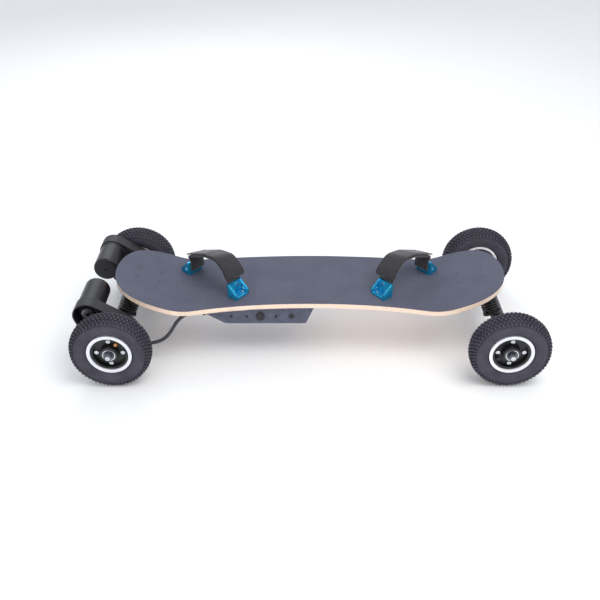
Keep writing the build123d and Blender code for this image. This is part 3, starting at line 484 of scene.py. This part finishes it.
def end_tree(tree, given, geometry):
    """End a tree: real geometry with the given finish."""
    real = add_node(tree, "GeometryNodeRealizeInstances", {"Geometry": geometry})
    finished = add_node(tree, "GeometryNodeSetMaterial", {
        "Geometry": real.outputs["Geometry"], "Material": given.outputs["Finish"]})
    add_node(tree, "NodeGroupOutput", {"Geometry": finished.outputs["Geometry"]})
    return tree


def add_tree(piece, tree, values):
    """Put a tree on a piece as a modifier, with its inputs set by identifier."""
    modifier = piece.modifiers.new(tree.name, "NODES")
    modifier.node_group = tree
    ids = {item.name: item.identifier for item in tree.interface.items_tree
           if item.in_out == "INPUT"}
    for label, value in values.items():
        modifier[ids[label]] = value
    return modifier


def knob_tree():
    """A ring of tapered rubber blocks about the Y axis."""
    tree, given = tree_with("tread_row", [
        ("Knobs", "Int"), ("Radius", "Float"), ("Offset", "Float"), ("Stagger", "Float"),
        ("Lean", "Float"), ("Twist", "Float"), ("Length", "Float"), ("Width", "Float"),
        ("Height", "Float")])
    block = add_node(tree, "GeometryNodeMeshCone", {
        "Vertices": 4, "Radius Top": 0.58, "Radius Bottom": 0.72, "Depth": 1.0})
    size = add_node(tree, "ShaderNodeCombineXYZ", {
        "X": given.outputs["Length"], "Y": given.outputs["Width"], "Z": given.outputs["Height"]})
    turned = add_node(tree, "GeometryNodeTransform", {
        "Geometry": block.outputs["Mesh"], "Translation": (0, 0, -0.5),
        "Rotation": (0, 0, math.pi / 4)})
    sized = add_node(tree, "GeometryNodeTransform", {
        "Geometry": turned.outputs["Geometry"], "Scale": size.outputs["Vector"]})
    twist = add_node(tree, "ShaderNodeCombineXYZ", {"Z": given.outputs["Twist"]})
    twisted = add_node(tree, "GeometryNodeTransform", {
        "Geometry": sized.outputs["Geometry"], "Rotation": twist.outputs["Vector"]})
    index = add_node(tree, "GeometryNodeInputIndex")
    shifted = add_node(tree, "ShaderNodeMath", {
        0: index.outputs["Index"], 1: given.outputs["Stagger"]}, operation="ADD")
    share = add_node(tree, "ShaderNodeMath", {
        0: shifted.outputs["Value"], 1: given.outputs["Knobs"]}, operation="DIVIDE")
    angle = add_node(tree, "ShaderNodeMath", {0: share.outputs["Value"], 1: 2 * math.pi},
                     operation="MULTIPLY")
    axes = []
    for operation in ("COSINE", "SINE"):
        wave = add_node(tree, "ShaderNodeMath", {0: angle.outputs["Value"]}, operation=operation)
        axes.append(add_node(tree, "ShaderNodeMath", {
            0: wave.outputs["Value"], 1: given.outputs["Radius"]}, operation="MULTIPLY"))
    place = add_node(tree, "ShaderNodeCombineXYZ", {
        "X": axes[0].outputs["Value"], "Y": given.outputs["Offset"], "Z": axes[1].outputs["Value"]})
    points = add_node(tree, "GeometryNodePoints", {
        "Count": given.outputs["Knobs"], "Position": place.outputs["Vector"]})
    around = add_node(tree, "ShaderNodeMath", {0: math.pi / 2, 1: angle.outputs["Value"]},
                      operation="SUBTRACT")
    facing = add_node(tree, "ShaderNodeCombineXYZ", {
        "X": given.outputs["Lean"], "Y": around.outputs["Value"]})
    copies = add_node(tree, "GeometryNodeInstanceOnPoints", {
        "Points": points.outputs["Geometry"], "Instance": twisted.outputs["Geometry"],
        "Rotation": facing.outputs["Vector"]})
    rows = add_node(tree, "GeometryNodeJoinGeometry")
    tree.links.new(copies.outputs["Instances"], rows.inputs["Geometry"])
    tree.links.new(given.outputs["Geometry"], rows.inputs["Geometry"])
    return end_tree(tree, given, rows.outputs["Geometry"])


def coil_tree():
    """A wound coil spring along the Z axis, from the origin up."""
    tree, given = tree_with("coil", [
        ("Turns", "Float"), ("Radius", "Float"), ("Height", "Float"), ("Wire", "Float")])
    line = add_node(tree, "GeometryNodeCurveSpiral", {
        "Resolution": 40, "Rotations": given.outputs["Turns"],
        "Start Radius": given.outputs["Radius"], "End Radius": given.outputs["Radius"],
        "Height": given.outputs["Height"]})
    section = add_node(tree, "GeometryNodeCurvePrimitiveCircle", {
        "Resolution": 12, "Radius": given.outputs["Wire"]})
    tube = add_node(tree, "GeometryNodeCurveToMesh", {
        "Curve": line.outputs["Curve"], "Profile Curve": section.outputs["Curve"],
        "Fill Caps": True})
    return end_tree(tree, given, tube.outputs["Mesh"])


def stitch_tree():
    """Short raised stitches along the piece's edges, which form open lines."""
    tree, given = tree_with("stitches", [("Pitch", "Float"), ("Thread", "Float")])
    line = add_node(tree, "GeometryNodeMeshToCurve", {"Mesh": given.outputs["Geometry"]})
    spaced = add_node(tree, "GeometryNodeCurveToPoints", {
        "Curve": line.outputs["Curve"], "Length": given.outputs["Pitch"]}, mode="LENGTH")
    bead = add_node(tree, "GeometryNodeMeshIcoSphere", {"Radius": given.outputs["Thread"],
                                                        "Subdivisions": 2})
    longer = add_node(tree, "GeometryNodeTransform", {
        "Geometry": bead.outputs["Mesh"], "Scale": (1.0, 1.0, 3.2)})
    copies = add_node(tree, "GeometryNodeInstanceOnPoints", {
        "Points": spaced.outputs["Points"], "Instance": longer.outputs["Geometry"],
        "Rotation": spaced.outputs["Rotation"]})
    return end_tree(tree, given, copies.outputs["Instances"])


# ---- sizes and colours a user would change -----------------------------------------------
class TyreSizes(bpy.types.PropertyGroup):
    """Sizes of the off-road tyres and their tread."""
    diameter: FloatProperty(name="Diameter", description="Outside diameter over the tread blocks",
                            default=0.2, unit="LENGTH")
    knob_height: FloatProperty(name="Knob height", description="Height of a tread block",
                               default=0.0048, unit="LENGTH")
    knobs: IntProperty(name="Knobs per row", description="Tread blocks in each row", default=60)


class SpringSizes(bpy.types.PropertyGroup):
    """Sizes of the truck springs."""
    diameter: FloatProperty(name="Diameter", description="Outside diameter of a spring",
                            default=0.044, unit="LENGTH")
    wire: FloatProperty(name="Wire", description="Wire thickness of a spring", default=0.0056,
                        unit="LENGTH")
    turns: FloatProperty(name="Turns", description="Turns of wire in a spring", default=7.0)


class StrapSizes(bpy.types.PropertyGroup):
    """Sizes of the foot straps."""
    width: FloatProperty(name="Width", description="Width of the padded band", default=0.044,
                         unit="LENGTH")
    flap: FloatProperty(name="Flap thickness", description="Thickness of the flap over the band",
                        default=0.005, unit="LENGTH")
    thickness: FloatProperty(name="Thickness", description="Thickness of the padded band",
                             default=0.008, unit="LENGTH")
    stitch: FloatProperty(name="Stitch pitch", description="Distance between stitches",
                          default=0.0042, unit="LENGTH")


class Colours(bpy.types.PropertyGroup):
    """Colours of the main finishes."""
    bracket: FloatVectorProperty(name="Brackets", description="Anodised colour of the strap brackets",
                                 default=linear("3cc0e4")[:3], subtype="COLOR", min=0, max=1)
    grip: FloatVectorProperty(name="Grip tape", description="Colour of the grit on the deck",
                              default=linear("5d606f")[:3], subtype="COLOR", min=0, max=1)


SIZES = {"tyres": TyreSizes, "springs": SpringSizes, "straps": StrapSizes, "colours": Colours}


def setting(group):
    """The scene's values of one group of sizes."""
    return getattr(bpy.context.scene, "skateboard_" + group)


# ---- pieces: stage and cable ---------------------------------------------------------------
CAMERA_PLACE = (-0.0252, -1.6892, 1.2328)
CAMERA_TILT = math.radians(56.21)
CAMERA_LENS = 45.76                # millimetres, on a sensor 36 mm wide
FLOOR_HALF = 12                    # half the side of the floor, in metres
LIGHTS = [    # name, place, size in metres, power in watts, colour
    ("key", (0.9, -0.9, 2.6), 1.8, 36, "fffdf8"),
    ("back", (-0.6, 2.2, 2.0), 2.0, 20, "f6f9ff"),
    ("front", (-0.8, -2.8, 1.1), 2.2, 16, "ffffff")]


def lay_stage():
    """The camera, the floor, the lights and the world."""
    eye = bpy.data.cameras.new("camera")
    eye.lens = CAMERA_LENS
    eye.sensor_width = 36
    camera = in_scene("camera", eye)
    camera.location = CAMERA_PLACE
    camera.rotation_euler = (CAMERA_TILT, 0, 0)
    bpy.context.scene.camera = camera

    floor = bmesh.new()
    bmesh.ops.create_grid(floor, x_segments=8, y_segments=8, size=FLOOR_HALF)
    ground = publish(floor, "floor", ["backdrop"])

    world = bpy.data.worlds.new("studio")
    world.use_nodes = True
    sky = world.node_tree
    sky.nodes["Background"].inputs["Color"].default_value = linear("f4f6fa")
    sky.nodes["Background"].inputs["Strength"].default_value = 0.83
    bpy.context.scene.world = world
    bpy.context.scene.view_settings.view_transform = "Standard"

    for name, place, size, power, colour in LIGHTS:
        lamp = bpy.data.lights.new(name, "AREA")
        lamp.size = size
        lamp.energy = power
        lamp.color = linear(colour)[:3]
        source = in_scene(name, lamp)
        source.location = place
        source.rotation_euler = (Vector((0, 0, 0.1)) - Vector(place)).to_track_quat(
            "-Z", "Y").to_euler()


CABLE_ROUTE = [(-278, -86, 123), (-297, -87, 123), (-323, -95, 119), (-342, -105, 103),
               (-354, -114, 83), (-370, -120, 65), (-392, -124, 55), (-424, -124, 51),
               (-458, -123, 52), (-490, -120, 60), (-517, -115, 74), (-534, -109, 93),
               (-543, -106, 113), (-543, -106, 130)]
CABLE_DIAMETER = 9 * MM


def spline_through(route):
    """The points of a smooth NURBS line that has this route as its control points."""
    line = bpy.data.curves.new("route", "CURVE")
    line.dimensions = "3D"
    spline = line.splines.new("NURBS")
    spline.points.add(len(route) - 1)
    for point, place in zip(spline.points, route):
        point.co = (*(Vector(place) * MM), 1)
    spline.order_u = 3
    spline.use_endpoint_u = True
    spline.resolution_u = 8
    holder = in_scene("route", line)
    bpy.context.view_layer.update()
    traced = bpy.data.meshes.new_from_object(
        holder.evaluated_get(bpy.context.evaluated_depsgraph_get()))
    points = [vertex.co.copy() for vertex in traced.vertices]
    bpy.data.objects.remove(holder)
    bpy.data.meshes.remove(traced)
    return points


TUBE_SIDES = 20


def tube(name, points, radius, finish):
    """A closed round tube along points, with its UV map in metres."""
    shape = bmesh.new()
    uv = shape.loops.layers.uv.new("UVMap")
    side = Vector((0, 0, 1))
    rings, travelled = [], [0.0]
    for number, point in enumerate(points):
        ahead = points[min(number + 1, len(points) - 1)] - points[max(number - 1, 0)]
        ahead.normalize()
        side = (side - ahead * side.dot(ahead)).normalized()
        across = ahead.cross(side)
        rings.append([shape.verts.new(point + radius * (
            side * math.cos(2 * math.pi * k / TUBE_SIDES)
            + across * math.sin(2 * math.pi * k / TUBE_SIDES)))
            for k in range(TUBE_SIDES)])
        if number:
            travelled.append(travelled[-1] + (point - points[number - 1]).length)
    girth = 2 * math.pi * radius
    for number in range(len(rings) - 1):
        for k in range(TUBE_SIDES):
            after = (k + 1) % TUBE_SIDES
            face = shape.faces.new((rings[number][k], rings[number][after],
                                    rings[number + 1][after], rings[number + 1][k]))
            for loop, (along, turn) in zip(face.loops, ((0, k), (0, k + 1), (1, k + 1), (1, k))):
                loop[uv].uv = (travelled[number + along], girth * turn / TUBE_SIDES)
    shape.faces.new(rings[0])
    shape.faces.new(rings[-1])
    return publish(shape, name, [finish], smooth_angle=50)


def run_cable():
    """The braided motor cable from its gland round the wheel to the motor."""
    points = spline_through(CABLE_ROUTE)
    cable = tube("motor_cable_sleeve", points, CABLE_DIAMETER / 2, "sleeve")
    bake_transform(cable)
    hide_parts("motor_cable")


# ---- pieces: wheels --------------------------------------------------------------------------
def empty_piece(name):
    """An object with an empty mesh, for a tree that makes everything itself."""
    return in_scene(name, bpy.data.meshes.new(name))


CARCASS_STEPS = 160
BLOCK_SINK = 0.0004        # tread blocks start this deep in the carcass


def tyre_profile(crown):
    """Half of the carcass section, (radius, half width), from the bead up to the crown."""
    return [(0.0533, 0.0172), (0.0572, 0.0174), (0.0574, 0.0212), (0.0592, 0.0226),
            (0.0602, 0.0234), (0.0616, 0.0233), (0.0640, 0.0247), (0.0700, 0.0256),
            (0.0745, 0.02585), (0.0752, 0.0261), (0.0762, 0.0261), (0.0770, 0.0257),
            (0.0815, 0.0254), (0.0850, 0.0246), (crown - 0.0105, 0.0234), (crown - 0.0062, 0.0213),
            (crown - 0.0030, 0.0180), (crown - 0.0012, 0.0135), (crown - 0.0003, 0.0075),
            (crown, 0.0025)]


def make_tyre(end, hand, rows_tree):
    """One off-road tyre: a lathe-turned carcass, rows of tread blocks and shoulder lugs."""
    sizes = setting("tyres")
    body = f"{end}_{hand}_wheel"
    low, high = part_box(f"{end}_{hand}_tyre")
    centre = (low + high) / 2
    outward = HANDS[hand]
    crown = sizes.diameter / 2 - sizes.knob_height + BLOCK_SINK
    half = tyre_profile(crown)
    inside = [(crown - 0.007, 0.004), (crown - 0.0125, 0.0165), (0.078, 0.0208), (0.066, 0.0195),
              (0.0613, 0.0155), (0.0533, 0.0125)]
    section = (half + [(r, -y) for r, y in reversed(half)]
               + [(r, -y) for r, y in reversed(inside)] + inside)
    carcass = publish(lathe(section, CARCASS_STEPS, centre, outward), f"{body}_tyre_finished",
                      ["tyre"], 32)
    blocks = empty_piece(f"{body}_tread")
    count = sizes.knobs
    pitch = 2 * math.pi * (sizes.diameter / 2) / count
    top = sizes.diameter / 2
    height = sizes.knob_height
    rows = [  # offset, stagger, lean, twist, length share, width, height, centre radius
        (0.0, 0.0, 0.0, 0.0, 0.52, 0.0088, height, top - height / 2),
        (0.0085, 0.5, -0.10, 0.25, 0.50, 0.0070, height, top - height / 2 - 0.0004),
        (-0.0085, 0.5, 0.10, -0.25, 0.50, 0.0070, height, top - height / 2 - 0.0004),
        (0.0158, 0.0, -0.38, 0.0, 0.46, 0.0064, height, top - height / 2 - 0.0026),
        (-0.0158, 0.0, 0.38, 0.0, 0.46, 0.0064, height, top - height / 2 - 0.0026),
        (0.0218, 0.5, -1.02, 0.0, 0.50, 0.0092, 0.0044, top - 0.0086),
        (-0.0218, 0.5, 1.02, 0.0, 0.50, 0.0092, 0.0044, top - 0.0086)]
    for offset, stagger, lean, twist, share, width, tall, radius in rows:
        add_tree(blocks, rows_tree, {
            "Knobs": count, "Radius": radius, "Offset": offset, "Stagger": stagger, "Lean": lean,
            "Twist": twist, "Length": pitch * share, "Width": width, "Height": tall,
            "Finish": FINISH["tread"]})
    plain_mesh(blocks)
    blocks.data.transform(Matrix.Translation(centre))
    smooth(blocks.data, 30)
    joined(carcass, blocks)
    smooth(carcass.data, 32)
    finish_piece(carcass, body, "tyre_rubber", f"{end}_{hand}_tyre")


VALVES = {"front": (205, "nylon"), "rear": (56, "brass")}      # degrees round the wheel, and cap
VALVE_RADIUS = 0.034       # from the axle to the valve
VALVE_FOOT = 0.0085        # from the wheel's middle out to the valve's foot


def make_valve(end, hand):
    """The tyre valve that stands out through the dished hub between two of its bolts."""
    turn_degrees, cap = VALVES[end]
    body = f"{end}_{hand}_wheel"
    low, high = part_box(f"{end}_{hand}_rim")
    centre = (low + high) / 2
    outward = HANDS[hand]
    turn = math.radians(turn_degrees)
    foot = centre + Vector((VALVE_RADIUS * math.cos(turn), outward * VALVE_FOOT,
                            VALVE_RADIUS * math.sin(turn)))
    profile = [(0.0001, -0.006), (0.0050, -0.006), (0.0050, 0.0), (0.0036, 0.0012),
               (0.0036, 0.0052), (0.0047, 0.0056), (0.0047, 0.0118), (0.0039, 0.0128),
               (0.0001, 0.0130)]
    valve = publish(lathe(profile, 24, foot, outward), f"{body}_valve", [cap], 30)
    finish_piece(valve, body, "steel")


def make_seal(end, hand):
    """The dark rubber seal in the face of the outer wheel bearing."""
    body = f"{end}_{hand}_wheel"
    low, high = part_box(f"{end}_{hand}_rim")
    centre = (low + high) / 2
    profile = [(0.0064, 0.0240), (0.0132, 0.0240), (0.0132, 0.0253), (0.0126, 0.0256),
               (0.0070, 0.0256), (0.0064, 0.0253)]
    seal = publish(lathe(profile, 48, centre, HANDS[hand]), f"{body}_seal", ["nylon"], 30)
    finish_piece(seal, body, "hub_black")


# ---- pieces: springs ---------------------------------------------------------------------------
# upper and lower seat of the front truck's left spring
SPRING_SEATS = (Vector((448, 60, 166)) * MM, Vector((466, 81, 122)) * MM)


def wind_springs(end, tree):
    """Both coil springs of a truck, wound between their seats."""
    sizes = setting("springs")
    both = empty_piece(f"{end}_springs_wound")
    for side in (1, -1):
        upper, lower = (Vector((seat.x * ENDS[end], seat.y * side, seat.z))
                        for seat in SPRING_SEATS)
        axis = upper - lower
        coil = empty_piece("coil")
        add_tree(coil, tree, {
            "Turns": sizes.turns, "Radius": (sizes.diameter - sizes.wire) / 2,
            "Height": axis.length - sizes.wire, "Wire": sizes.wire / 2,
            "Finish": FINISH["spring"]})
        plain_mesh(coil)
        coil.data.transform(Matrix.Translation(lower + axis.normalized() * sizes.wire / 2)
                            @ axis.to_track_quat("Z", "Y").to_matrix().to_4x4())
        joined(both, coil)
    smooth(both.data, 50)
    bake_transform(both)
    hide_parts(f"{end}_springs")


# ---- pieces: foot straps -------------------------------------------------------------------------
# frame of the rear binding: its middle, along the strap, across it, and up from the deck
BINDING_MIDDLE = Vector((-0.249, 0, 0.158217))
ALONG = Vector((0.759156, -0.648381, 0.057305))
ACROSS = Vector((0.649448, 0.760406, 0))
UPRIGHT = ALONG.cross(ACROSS)
LEG = 0.0775                # from the middle out to the band's legs
CROWN = 0.086               # height of the band's highest bend
SLOPE = [(-0.002, CROWN - 0.006), (0.045, CROWN), (LEG, CROWN - 0.024)]
BAND_PATH = ([(-LEG, 0.011), (-LEG, CROWN - 0.034), *SLOPE, (LEG, 0.011)],
             [0.012, 0.060, 0.030, 0.020])
FLAP_PATH = ([(-LEG - 0.002, CROWN - 0.0348), *SLOPE, (LEG, 0.046)], [0.060, 0.030, 0.020])
FLAP_RISE = 0.0067          # from the band's middle layer to the flap's
STRAP_DRIFT = 0.114         # the strap's middle line wanders this much across
DRIFT_START = 0.05          # place along the strap where that line is in the middle
STRAP_SKEW = 0.55           # its cross lines lean this much along it
SKEW_FROM = 0.036           # height where that lean starts, above the straight legs
SKEW_OVER = 0.02            # height over which it grows to its full value
STRAP_STEP = 0.0022         # distance between the band's rings
END_BINDING = 0.005         # depth of the binding tape over the ends
SEAM = 0.80                 # place of the seams, as a share of the half width
THREAD_RADIUS = 0.0005
# across the band: share of the half width, share of the half thickness, and finish
BAND_SECTION = [(-1.0, 0.0, 1), (-0.99, 0.5, 1), (-0.95, 0.72, 1), (-0.88, 0.72, 1),
                (-0.865, 0.5, 1), (-0.855, 0.56, 0), (-0.78, 0.78, 0), (-0.6, 0.92, 0),
                (-0.35, 0.98, 0), (0.0, 1.0, 0), (0.35, 0.98, 0), (0.6, 0.92, 0), (0.78, 0.78, 0),
                (0.855, 0.56, 0), (0.865, 0.5, 0), (0.88, 0.72, 1), (0.95, 0.72, 1),
                (0.99, 0.5, 1), (1.0, 0.0, 1)]


def on_board(end, along, across, up):
    """A point of a binding, from its own three distances; the front one is mirrored."""
    point = BINDING_MIDDLE + ALONG * along + ACROSS * across + UPRIGHT * up
    return Vector((-ENDS[end] * point.x, point.y, point.z))


def strap_line(path, rise, width):
    """Middle points of a strap's layer with its half cross line and its outward direction."""
    line = rounded_path([(x, 0, z) for x, z in path[0]], path[1], STRAP_STEP)
    stations = []
    for number, point in enumerate(line):
        ahead = line[min(number + 1, len(line) - 1)] - line[max(number - 1, 0)]
        ahead.normalize()
        lean = min(1.0, max(0.0, (point.z - SKEW_FROM) / SKEW_OVER))
        skew = STRAP_SKEW * lean * lean * (3 - 2 * lean)
        cross_line = Vector((skew, 1, 0)) * (width / 2)
        outward = cross_line.cross(ahead).normalized()
        centre = Vector((point.x, STRAP_DRIFT * (DRIFT_START - point.x), point.z))
        centre += Vector((-ahead.z, 0, ahead.x)) * rise
        stations.append((centre, cross_line, outward))
    return stations


def padded_band(name, end, stations, thickness, finishes, seed):
    """A padded band with bound edges and ends, swept along its stations."""
    middles = [station[0] for station in stations]
    travelled = [0.0]
    for before, after in zip(middles, middles[1:]):
        travelled.append(travelled[-1] + (after - before).length)
    shape = bmesh.new()
    uv = shape.loops.layers.uv.new("UVMap")
    section = BAND_SECTION + [(share, -rise, kind) for share, rise, kind
                              in reversed(BAND_SECTION[1:-1])]
    rings = []
    for (centre, cross_line, outward), along in zip(stations, travelled):
        from_end = min(along, travelled[-1] - along)
        end_round = min(1.0, 0.45 + from_end / 0.003)
        ring = []
        for share, rise, kind in section:
            pad = thickness / 2 * rise * end_round
            if kind == 0:
                pad *= 0.95 + 0.10 * noise.noise(Vector((along * 45, share * 2, seed)))
                if from_end < END_BINDING + 0.5 * MM:
                    pad *= 0.72
            place = centre + cross_line * share + outward * pad
            ring.append(shape.verts.new(on_board(end, *place)))
        rings.append(ring)
    count = len(section)
    for number in range(len(rings) - 1):
        near_end = min(travelled[number], travelled[-1] - travelled[number + 1]) < END_BINDING
        for k in range(count):
            after = (k + 1) % count
            face = shape.faces.new((rings[number][k], rings[number][after],
                                    rings[number + 1][after], rings[number + 1][k]))
            bound = near_end or (section[k][2] and section[after][2])
            face.material_index = 1 if bound else 0
            for loop, (step, side) in zip(face.loops, ((0, k), (0, after), (1, after), (1, k))):
                loop[uv].uv = (travelled[number + step],
                               stations[number + step][1].length * section[side][0])
    for ring in (rings[0], rings[-1]):
        shape.faces.new(ring).material_index = 1
    return publish(shape, name, finishes, smooth_angle=60)


def seam_along(end, stations, share, rise):
    """A mesh of open edges on the band's face, for the stitches to follow."""
    mesh = bpy.data.meshes.new("seam")
    points = [on_board(end, *(centre + cross_line * share + outward * rise))
              for centre, cross_line, outward in stations[3:-3]]
    mesh.from_pydata(points, [(k, k + 1) for k in range(len(points) - 1)], [])
    return in_scene("seam", mesh)


def make_strap(end, tree):
    """A foot strap: the padded band between the brackets with the flap over it, sewn."""
    sizes = setting("straps")
    under = strap_line(BAND_PATH, 0.0, sizes.width)
    over = strap_line(FLAP_PATH, FLAP_RISE, sizes.width)
    band = padded_band(f"{end}_foot_band", end, under, sizes.thickness, ["lining", "binding"], 1)
    flap = padded_band(f"{end}_foot_flap", end, over, sizes.flap, ["strap", "binding"], 7)
    for share in (-SEAM, SEAM):
        seam = seam_along(end, over, share, sizes.flap * 0.38)
        add_tree(seam, tree, {"Pitch": sizes.stitch, "Thread": THREAD_RADIUS,
                              "Finish": FINISH["thread"]})
        plain_mesh(seam)
        joined(flap, seam)
    smooth(flap.data, 60)
    joined(band, flap)
    smooth(band.data, 60)
    finish_piece(band, "root", "strap_fabric", f"{end}_foot_strap")


# ---- pieces: deck and carried-over nodes ----------------------------------------------------------
def finish_deck():
    """The deck with its depth through the plies kept on the mesh, so the edge shows them."""
    shape = bmesh.new()
    shape.from_mesh(frame["nodes"]["deck"].data)
    bmesh.ops.remove_doubles(shape, verts=shape.verts, dist=0.01 * MM)
    deck = publish(shape, "deck_pressed", ["ply"], 30)
    depth = deck.data.attributes.new("ply_depth", "FLOAT", "POINT")
    upward = [0.0] * len(deck.data.vertices)
    downward = [0.0] * len(deck.data.vertices)
    for face in deck.data.polygons:
        for vertex in face.vertices:
            upward[vertex] = max(upward[vertex], face.normal.z)
            downward[vertex] = max(downward[vertex], -face.normal.z)
    depth.data.foreach_set("value", [0.0 if up > 0.6 else (1.0 if down > 0.6 else 0.5)
                                     for up, down in zip(upward, downward)])
    finish_piece(deck, "root", "maple_ply", "deck")


def cover_bolts():
    """The truck bolts, zinc below the deck and with flat heads under the deck's grit."""
    bolts = refined("truck_bolts", "zinc", 0.25, "steel")
    bolts.data.materials.append(FINISH["grip"])
    under_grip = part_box("grip_tape")[0].z
    for face in bolts.data.polygons:
        if face.center.z > under_grip:
            face.material_index = 1


REFINED = {    # node: finish, edge rounding in millimetres, material slot
    "binding_brackets": ("anodised", 0.7, "blue_anodised"),
    "enclosure_shell": ("housing", 1.6, "enclosure_grey"),
    "left_motor_mount": ("powder", 0.7, "black_metal"),
    "right_motor_mount": ("powder", 0.7, "black_metal"),
}

def each(names, *pieces):
    """The nodes of these pieces at each end, hand or wheel."""
    return [f"{name}_{piece}" for piece in pieces for name in names]


PLAIN = {    # finish: nodes that keep their shape
    "grip": ["grip_tape"],
    "zinc": ["binding_screws", "drive_screws", *each(ENDS, "pivot_pin", "axle"),
             *each(WHEELS, "hub_hardware"), *each(HANDS, "motor_pulley")],
    "powder": each(ENDS, "base_plate", "hanger"),
    "rim": each(WHEELS, "rim"),
    "hub": each(WHEELS, "hub"),
    "motor": each(HANDS, "motor_body", "motor_rotor"),
    "steel": [*each(HANDS, "wheel_pulley"), *each(ENDS, "axle_nuts")],
    "belt": each(HANDS, "drive_belt"),
    "nylon": [*each(HANDS, "belt_cover"), "power_button", "charge_port", "charge_port_cap",
              "cable_glands", "enclosure_screws"],
    "foam": ["enclosure_gasket"],
    "cells": ["battery_cells"],
    "board": ["speed_controller"],
}


# ---- operators -------------------------------------------------------------------------------------
class SKATE_OT_stage(bpy.types.Operator):
    """Sets the camera, floor, lights and world"""
    bl_idname = "skateboard.stage"
    bl_label = "Set the stage"

    def execute(self, context):
        FINISH.update(all_materials())
        lay_stage()
        return {"FINISHED"}


class SKATE_OT_cable(bpy.types.Operator):
    """Runs the braided motor cable"""
    bl_idname = "skateboard.cable"
    bl_label = "Run the motor cable"

    def execute(self, context):
        run_cable()
        return {"FINISHED"}


class SKATE_OT_wheels(bpy.types.Operator):
    """Makes the four off-road tyres with their tread, and the valves"""
    bl_idname = "skateboard.wheels"
    bl_label = "Make the tyres"

    def execute(self, context):
        rows = knob_tree()
        for end in ENDS:
            for hand in HANDS:
                make_tyre(end, hand, rows)
                make_valve(end, hand)
                make_seal(end, hand)
        return {"FINISHED"}


class SKATE_OT_springs(bpy.types.Operator):
    """Winds the truck springs"""
    bl_idname = "skateboard.springs"
    bl_label = "Wind the springs"

    def execute(self, context):
        tree = coil_tree()
        for end in ENDS:
            wind_springs(end, tree)
        return {"FINISHED"}


class SKATE_OT_straps(bpy.types.Operator):
    """Sews the two padded foot straps"""
    bl_idname = "skateboard.straps"
    bl_label = "Sew the foot straps"

    def execute(self, context):
        tree = stitch_tree()
        for end in ENDS:
            make_strap(end, tree)
        return {"FINISHED"}


class SKATE_OT_deck(bpy.types.Operator):
    """Finishes the plywood deck"""
    bl_idname = "skateboard.deck"
    bl_label = "Finish the deck"

    def execute(self, context):
        finish_deck()
        return {"FINISHED"}


class SKATE_OT_hardware(bpy.types.Operator):
    """Finishes the brackets, housing, trucks, hubs and drive"""
    bl_idname = "skateboard.hardware"
    bl_label = "Finish the hardware"

    def execute(self, context):
        for node, (finish, bevel, slot) in REFINED.items():
            refined(node, finish, bevel, slot)
        cover_bolts()
        for finish, nodes in PLAIN.items():
            for node in nodes:
                repaint(node, finish)
        return {"FINISHED"}


class SKATE_PT_panel(bpy.types.Panel):
    """Lists the sizes and the steps of the board's finish"""
    bl_idname = "SKATE_PT_panel"
    bl_label = "Skateboard finish"
    bl_space_type = "VIEW_3D"
    bl_region_type = "UI"
    bl_category = "Skateboard"

    def draw(self, context):
        for group, kind in SIZES.items():
            box = self.layout.box()
            for name in kind.__annotations__:
                box.prop(setting(group), name)
        for operator in STEPS:
            self.layout.operator(operator.bl_idname)


STEPS = (SKATE_OT_stage, SKATE_OT_cable, SKATE_OT_wheels, SKATE_OT_springs, SKATE_OT_straps,
         SKATE_OT_deck, SKATE_OT_hardware)


def register():
    for kind in (*SIZES.values(), *STEPS, SKATE_PT_panel):
        bpy.utils.register_class(kind)
    for group, kind in SIZES.items():
        setattr(bpy.types.Scene, "skateboard_" + group, PointerProperty(type=kind))


def unregister():
    for group in SIZES:
        delattr(bpy.types.Scene, "skateboard_" + group)
    for kind in (SKATE_PT_panel, *reversed(STEPS), *SIZES.values()):
        bpy.utils.unregister_class(kind)


def main():
    register()
    bpy.ops.skateboard.stage()
    bpy.ops.skateboard.cable()
    bpy.ops.skateboard.wheels()
    bpy.ops.skateboard.springs()
    bpy.ops.skateboard.straps()
    bpy.ops.skateboard.deck()
    bpy.ops.skateboard.hardware()
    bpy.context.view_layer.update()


if __name__ == "__main__":
    main()
